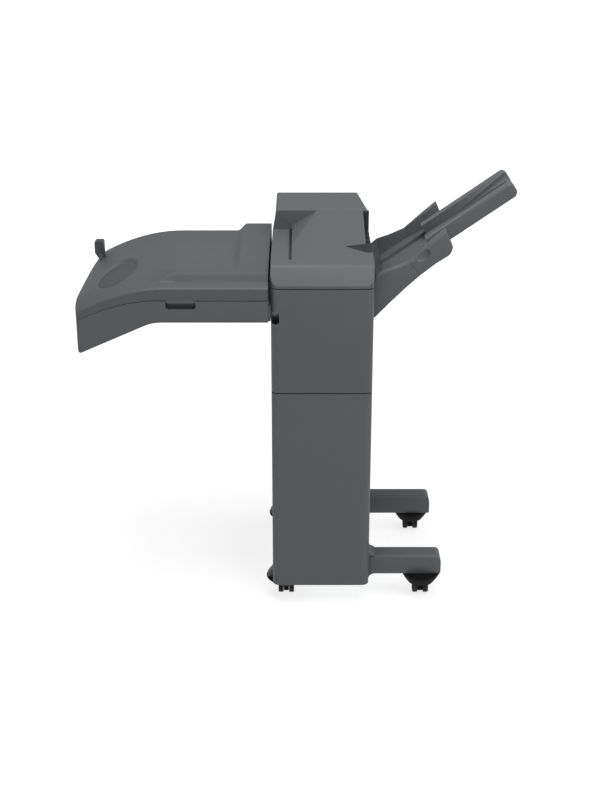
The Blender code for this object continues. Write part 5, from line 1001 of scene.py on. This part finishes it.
for corner_name in ("front_left", "rear_left", "front_right", "rear_right"):
    cup_low, cup_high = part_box(f"caster_cup_{corner_name}")
    x, y = cup_low.x + cup_radius, cup_low.y + cup_radius
    left_side = "left" in corner_name
    top_z = left_cup_top if left_side else cup_high.z
    bowl = ringed("bowl", [
        (stem_bore, top_z), (cup_radius - 0.001, top_z), (cup_radius, top_z - 0.001),
        (cup_radius, top_z - cup_rim), *cup_side(top_z, 0, range(1, 9)),
        (mouth_radius - cup_wall, mouth_height), *cup_side(top_z, cup_wall, range(7, 0, -1)),
        (cup_radius - cup_wall - 0.001, top_z - cup_wall), (stem_bore, top_z - cup_wall),
        (stem_bore, top_z)], 72)
    cup = moved(bowl, f"cup_shell_{corner_name}", (0, 0, 0), (x, y, 0))
    drop(bowl)
    finish(cup, nylon, "cabinet", f"caster_cup_{corner_name}", angle=50)
    if left_side:
        # The left cups stand out past the cover, under a sloping lug of its own charcoal.
        lug_left = x - cup_radius + lug_inset
        lug = block(f"cup_lug_{corner_name}", (lug_left, y - lug_half, top_z - cup_rim),
                    (lug_right, y + lug_half, cup_high.z))
        pick(lug, "VERT", lambda corner: corner.co.z > top_z and near(corner.co.x, lug_left))
        bpy.ops.transform.translate(value=(0, 0, top_z + cup_rim - cup_high.z))
        pick(lug, "EDGE", lambda edge: max(corner.co.z for corner in edge.verts) > top_z
             and not flat(edge, 0)
             or all(near(corner.co.x, lug_left) for corner in edge.verts))
        bevel(lug_radius, 6)
        finish(lug, charcoal, "cabinet")
    body = f"fork_{corner_name}"
    rounded(f"caster_fork_{corner_name}", body, nylon, body, 0.0006, 2, 40)
    # A round guard between the wheels belongs to the fork.
    wheel_low, wheel_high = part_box(f"caster_wheels_{corner_name}")
    axle = Vector(((wheel_low.x + wheel_high.x) / 2, (wheel_low.y + wheel_high.y) / 2,
                   wheel_radius))
    guard = on_axle(f"guard_{corner_name}", axle, guard_half, guard_radius, 64)
    cut_away(guard, on_axle("bore_tool", axle, 0.02, axle_radius + 0.0003, 24))
    soften(guard, 0.0012, 3, 40)
    finish(guard, nylon, body)
    body = f"wheels_{corner_name}"
    for side, turn in (("left", -90), ("right", 90)):
        place = (axle.x + math.copysign(wheel_gap / 2, turn), axle.y, axle.z)
        rim = moved(tyre, f"tyre_{corner_name}_{side}", (0, math.radians(turn), 0), place)
        disc = moved(hub, f"hub_{corner_name}_{side}", (0, math.radians(turn), 0), place)
        # The left tyre stands for the pair of wheels.
        nodes = (f"caster_wheels_{corner_name}",) if side == "left" else ()
        finish(rim, rubber, body, *nodes, angle=50)
        finish(disc, black, body, angle=40)
    shaft = on_axle(f"axle_{corner_name}", axle, axle_half, axle_radius, 24)
    soften(shaft, 0.0004, 1)
    finish(shaft, plated, body)
drop(tyre, hub)


# The rollers.
# Ground steel shafts run between the plates, each with three grooved rubber tyres pushed on
# and, where it is driven, an acetal pulley at its rear end.

def turned_metal(name, shade, low_gloss, high_gloss):
    """Ground or drawn steel: bright, with fine rings left by the wheel and a few dull spots."""
    made, tree, where = bare(name)
    # Oil and handling leave dull spots about 12 mm across.
    spots = noise(tree, where, 80.0, 3.0)
    # Grinding marks lie about 0.5 mm apart.
    marks = noise(tree, where, 2000.0, 1.0)
    show(tree, add(tree, "ShaderNodeBsdfPrincipled", {"Base Color": colour(shade), "Metallic": 1.0},
                   {"Roughness": ranged(tree, spots, (0.35, 0.65), (low_gloss, high_gloss)),
                    "Normal": bumped(tree, marks, 0.10, 0.0001)}))
    return made


ground_steel = turned_metal("ground_steel", "B9BABB", 0.20, 0.34)
sleeve_rubber = moulded("black_roller_rubber", "2A2A2B", "3C3C3D", 0.0010,
                        0.66, 0.80)


def tread(core, radius, width, grooves, depth):
    """A wheel standing on the floor, bored for its shaft, with grooves turned in its tread."""
    pitch, edge = width / (grooves + 1), 0.0005
    rings = [(core, 0), (radius - edge, 0), (radius, edge)]
    for groove in range(grooves):
        middle = pitch * (groove + 1)
        rings += [(radius, middle - pitch / 6), (radius - depth, middle - pitch / 8),
                  (radius - depth, middle + pitch / 8), (radius, middle + pitch / 6)]
    return ringed("wheel", [*rings, (radius, width - edge), (radius - edge, width),
                            (core, width), (core, 0)], 48)


tyre_width, tyre_starts, backwards = 0.026, (-0.133, -0.023, 0.087), (math.radians(-90), 0, 0)
for node, body, thin, pulley_radius, pulley_width in (
        ("entrance_roller", "entrance", 0.004, 0.010, 0.008),
        ("exit_roller", "exit", 0.004, 0.010, 0.008),
        ("exit_idler", "idler", 0.0025, 0, 0),
        ("feed_roller_right", "feed_right", 0.004, 0.008, 0.006),
        ("feed_roller_middle", "feed_middle", 0.004, 0.008, 0.006),
        ("feed_roller_left", "feed_left", 0.004, 0.008, 0.006)):
    low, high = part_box(node)
    centre = (low + high) / 2
    shaft = drum(f"{node}_shaft", (centre.x, low.y, centre.z), (centre.x, high.y, centre.z),
                 thin, 40)
    soften(shaft, 0.0005, 2, 40)
    finish(shaft, ground_steel, body, node)
    wheel = tread(thin, (high.x - low.x) / 2, tyre_width, 5, 0.0006)
    for number, start in enumerate(tyre_starts):
        sleeve = moved(wheel, f"{node}_tyre_{number}", backwards, (centre.x, start, centre.z))
        finish(sleeve, sleeve_rubber, body)
    drop(wheel)
    if pulley_radius:
        wheel = tread(thin, pulley_radius, pulley_width, 1, 0.0005)
        pulley = moved(wheel, f"{node}_pulley", backwards,
                       (centre.x, high.y - pulley_width, centre.z))
        drop(wheel)
        finish(pulley, black, body)


# The belts and their pulleys.
# Moulded rubber belts run over black acetal pulleys behind the rear plate, in the transport
# and up the tray lift.

for node in ("drive_belt", "feed_belt", "lift_belt"):
    rounded(node, f"{node}_loop", sleeve_rubber, "cabinet", 0.0003, 2, 40)
for node, body in (("motor_pulley", "motor_shaft"), ("lift_pulley_lower", "lift_lower"),
                   ("lift_pulley_upper", "lift_upper")):
    rounded(node, f"{node}_wheel", black, body, 0.0006, 2, 40)


# The motors.
# Drawn steel cans with a black end cap and a plug. One drives the rollers, one the lift.

can_steel = turned_metal("drawn_steel", "9B9C9D", 0.30, 0.45)
plug_half, plug_end, plug_sunk = 0.006, 0.004, 0.006
# Where each cap starts and ends, and its radius.
for node, cap_start, cap_end, cap_radius in (
        ("drive_motor", (0.0988, 0.2097, 0.800), (0.0988, 0.2147, 0.800), 0.0195),
        ("lift_motor", (0.1225, -0.025, 0.120), (0.1275, -0.025, 0.120), 0.0185)):
    rounded(node, f"{node}_can", can_steel, "cabinet", 0.0010, 3, 40)
    cap = drum(f"{node}_cap", cap_start, cap_end, cap_radius, 64)
    soften(cap, 0.0012, 3, 40)
    finish(cap, black, "cabinet")
    across, depth, level = cap_start
    plug = block(f"{node}_plug",
                 (across - plug_half, depth - plug_half, level + cap_radius - plug_sunk),
                 (across + plug_half, depth + plug_end, level + cap_radius + plug_end))
    soften(plug, 0.0006, 2)
    finish(plug, black, "cabinet")


# The circuit board.
# Glass-fibre board under green solder mask on four posts, with black chips, a row of white
# nylon plugs and the can of one capacitor.

solder_mask, tree, where = bare("green_solder_mask")
# Copper tracks lie about 3 mm apart under the mask and print through it.
tracks = add(tree, "ShaderNodeTexBrick", {"Scale": 160.0, "Mortar Size": 0.05}, {"Vector": where})
paint = add(tree, "ShaderNodeMixRGB", {1: colour("1C4A30"), 2: colour("2E6A45")},
            {0: tracks.outputs["Fac"]})
gloss = ranged(tree, noise(tree, where, 400.0, 2.0), (0.0, 1.0), (0.28, 0.42))
show(tree, add(tree, "ShaderNodeBsdfPrincipled", {"IOR": 1.5},
               {"Base Color": paint.outputs[0], "Roughness": gloss}))
dress(solder_mask, "circuit_board")
board_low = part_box("circuit_board")[0]
board_face = board_low.y
white_nylon = moulded("white_nylon", "D9D6CB", "E6E4DC", 0.0012, 0.40, 0.50)
# Each chip's place across and up, then its width and height.
chips = ((0.030, 0.330, 0.024, 0.024), (0.080, 0.350, 0.016, 0.010), (0.080, 0.300, 0.012, 0.018),
         (0.115, 0.400, 0.010, 0.010), (0.030, 0.410, 0.014, 0.020), (0.070, 0.430, 0.020, 0.012))
chip_thickness = 0.0022
for number, (across, level, wide, tall) in enumerate(chips):
    chip = block(f"board_chip_{number}",
                 (across - wide / 2, board_face - chip_thickness, level - tall / 2),
                 (across + wide / 2, board_face, level + tall / 2))
    soften(chip, 0.0003, 2)
    finish(chip, black, "cabinet")
plug_start, plug_pitch, plug_half, plug_depth, plug_low, plug_high = (
    0.024, 0.026, 0.009, 0.008, 0.474, 0.482)
for number in range(5):
    across = board_low.x + plug_start + plug_pitch * number
    plug = block(f"board_plug_{number}", (across - plug_half, board_face - plug_depth, plug_low),
                 (across + plug_half, board_face, plug_high))
    soften(plug, 0.0006, 2)
    finish(plug, white_nylon, "cabinet")
can_x, can_z, can_length, can_radius = 0.120, 0.300, 0.016, 0.006
can = drum("board_capacitor", (can_x, board_face - can_length, can_z),
           (can_x, board_face, can_z), can_radius, 40)
soften(can, 0.0008, 3, 40)
finish(can, can_steel, "cabinet")


# The joggers and the stapler.
# Black acetal fingers square the sheets. A graphite ABS stapler slides on a ground rod and
# holds a blue cartridge of staples, pushed in from the front.

for node, body in (("front_jogger", "jogger_front"), ("rear_jogger", "jogger_rear")):
    rounded(node, f"{node}_finger", black, body, 0.0008, 3, 30)
dress(ground_steel, "stapler_rail", "lift_rod_front", "lift_rod_rear")
rounded("stapler", "stapler_case", near_black, "stapler_unit", 0.0010, 3, 30)
blue = moulded("blue_abs", "2F5C96", "5079AC", 0.0016, 0.36, 0.46)
rounded("staple_cartridge", "staple_cartridge_case", blue, "cartridge", 0.0007, 2, 30)
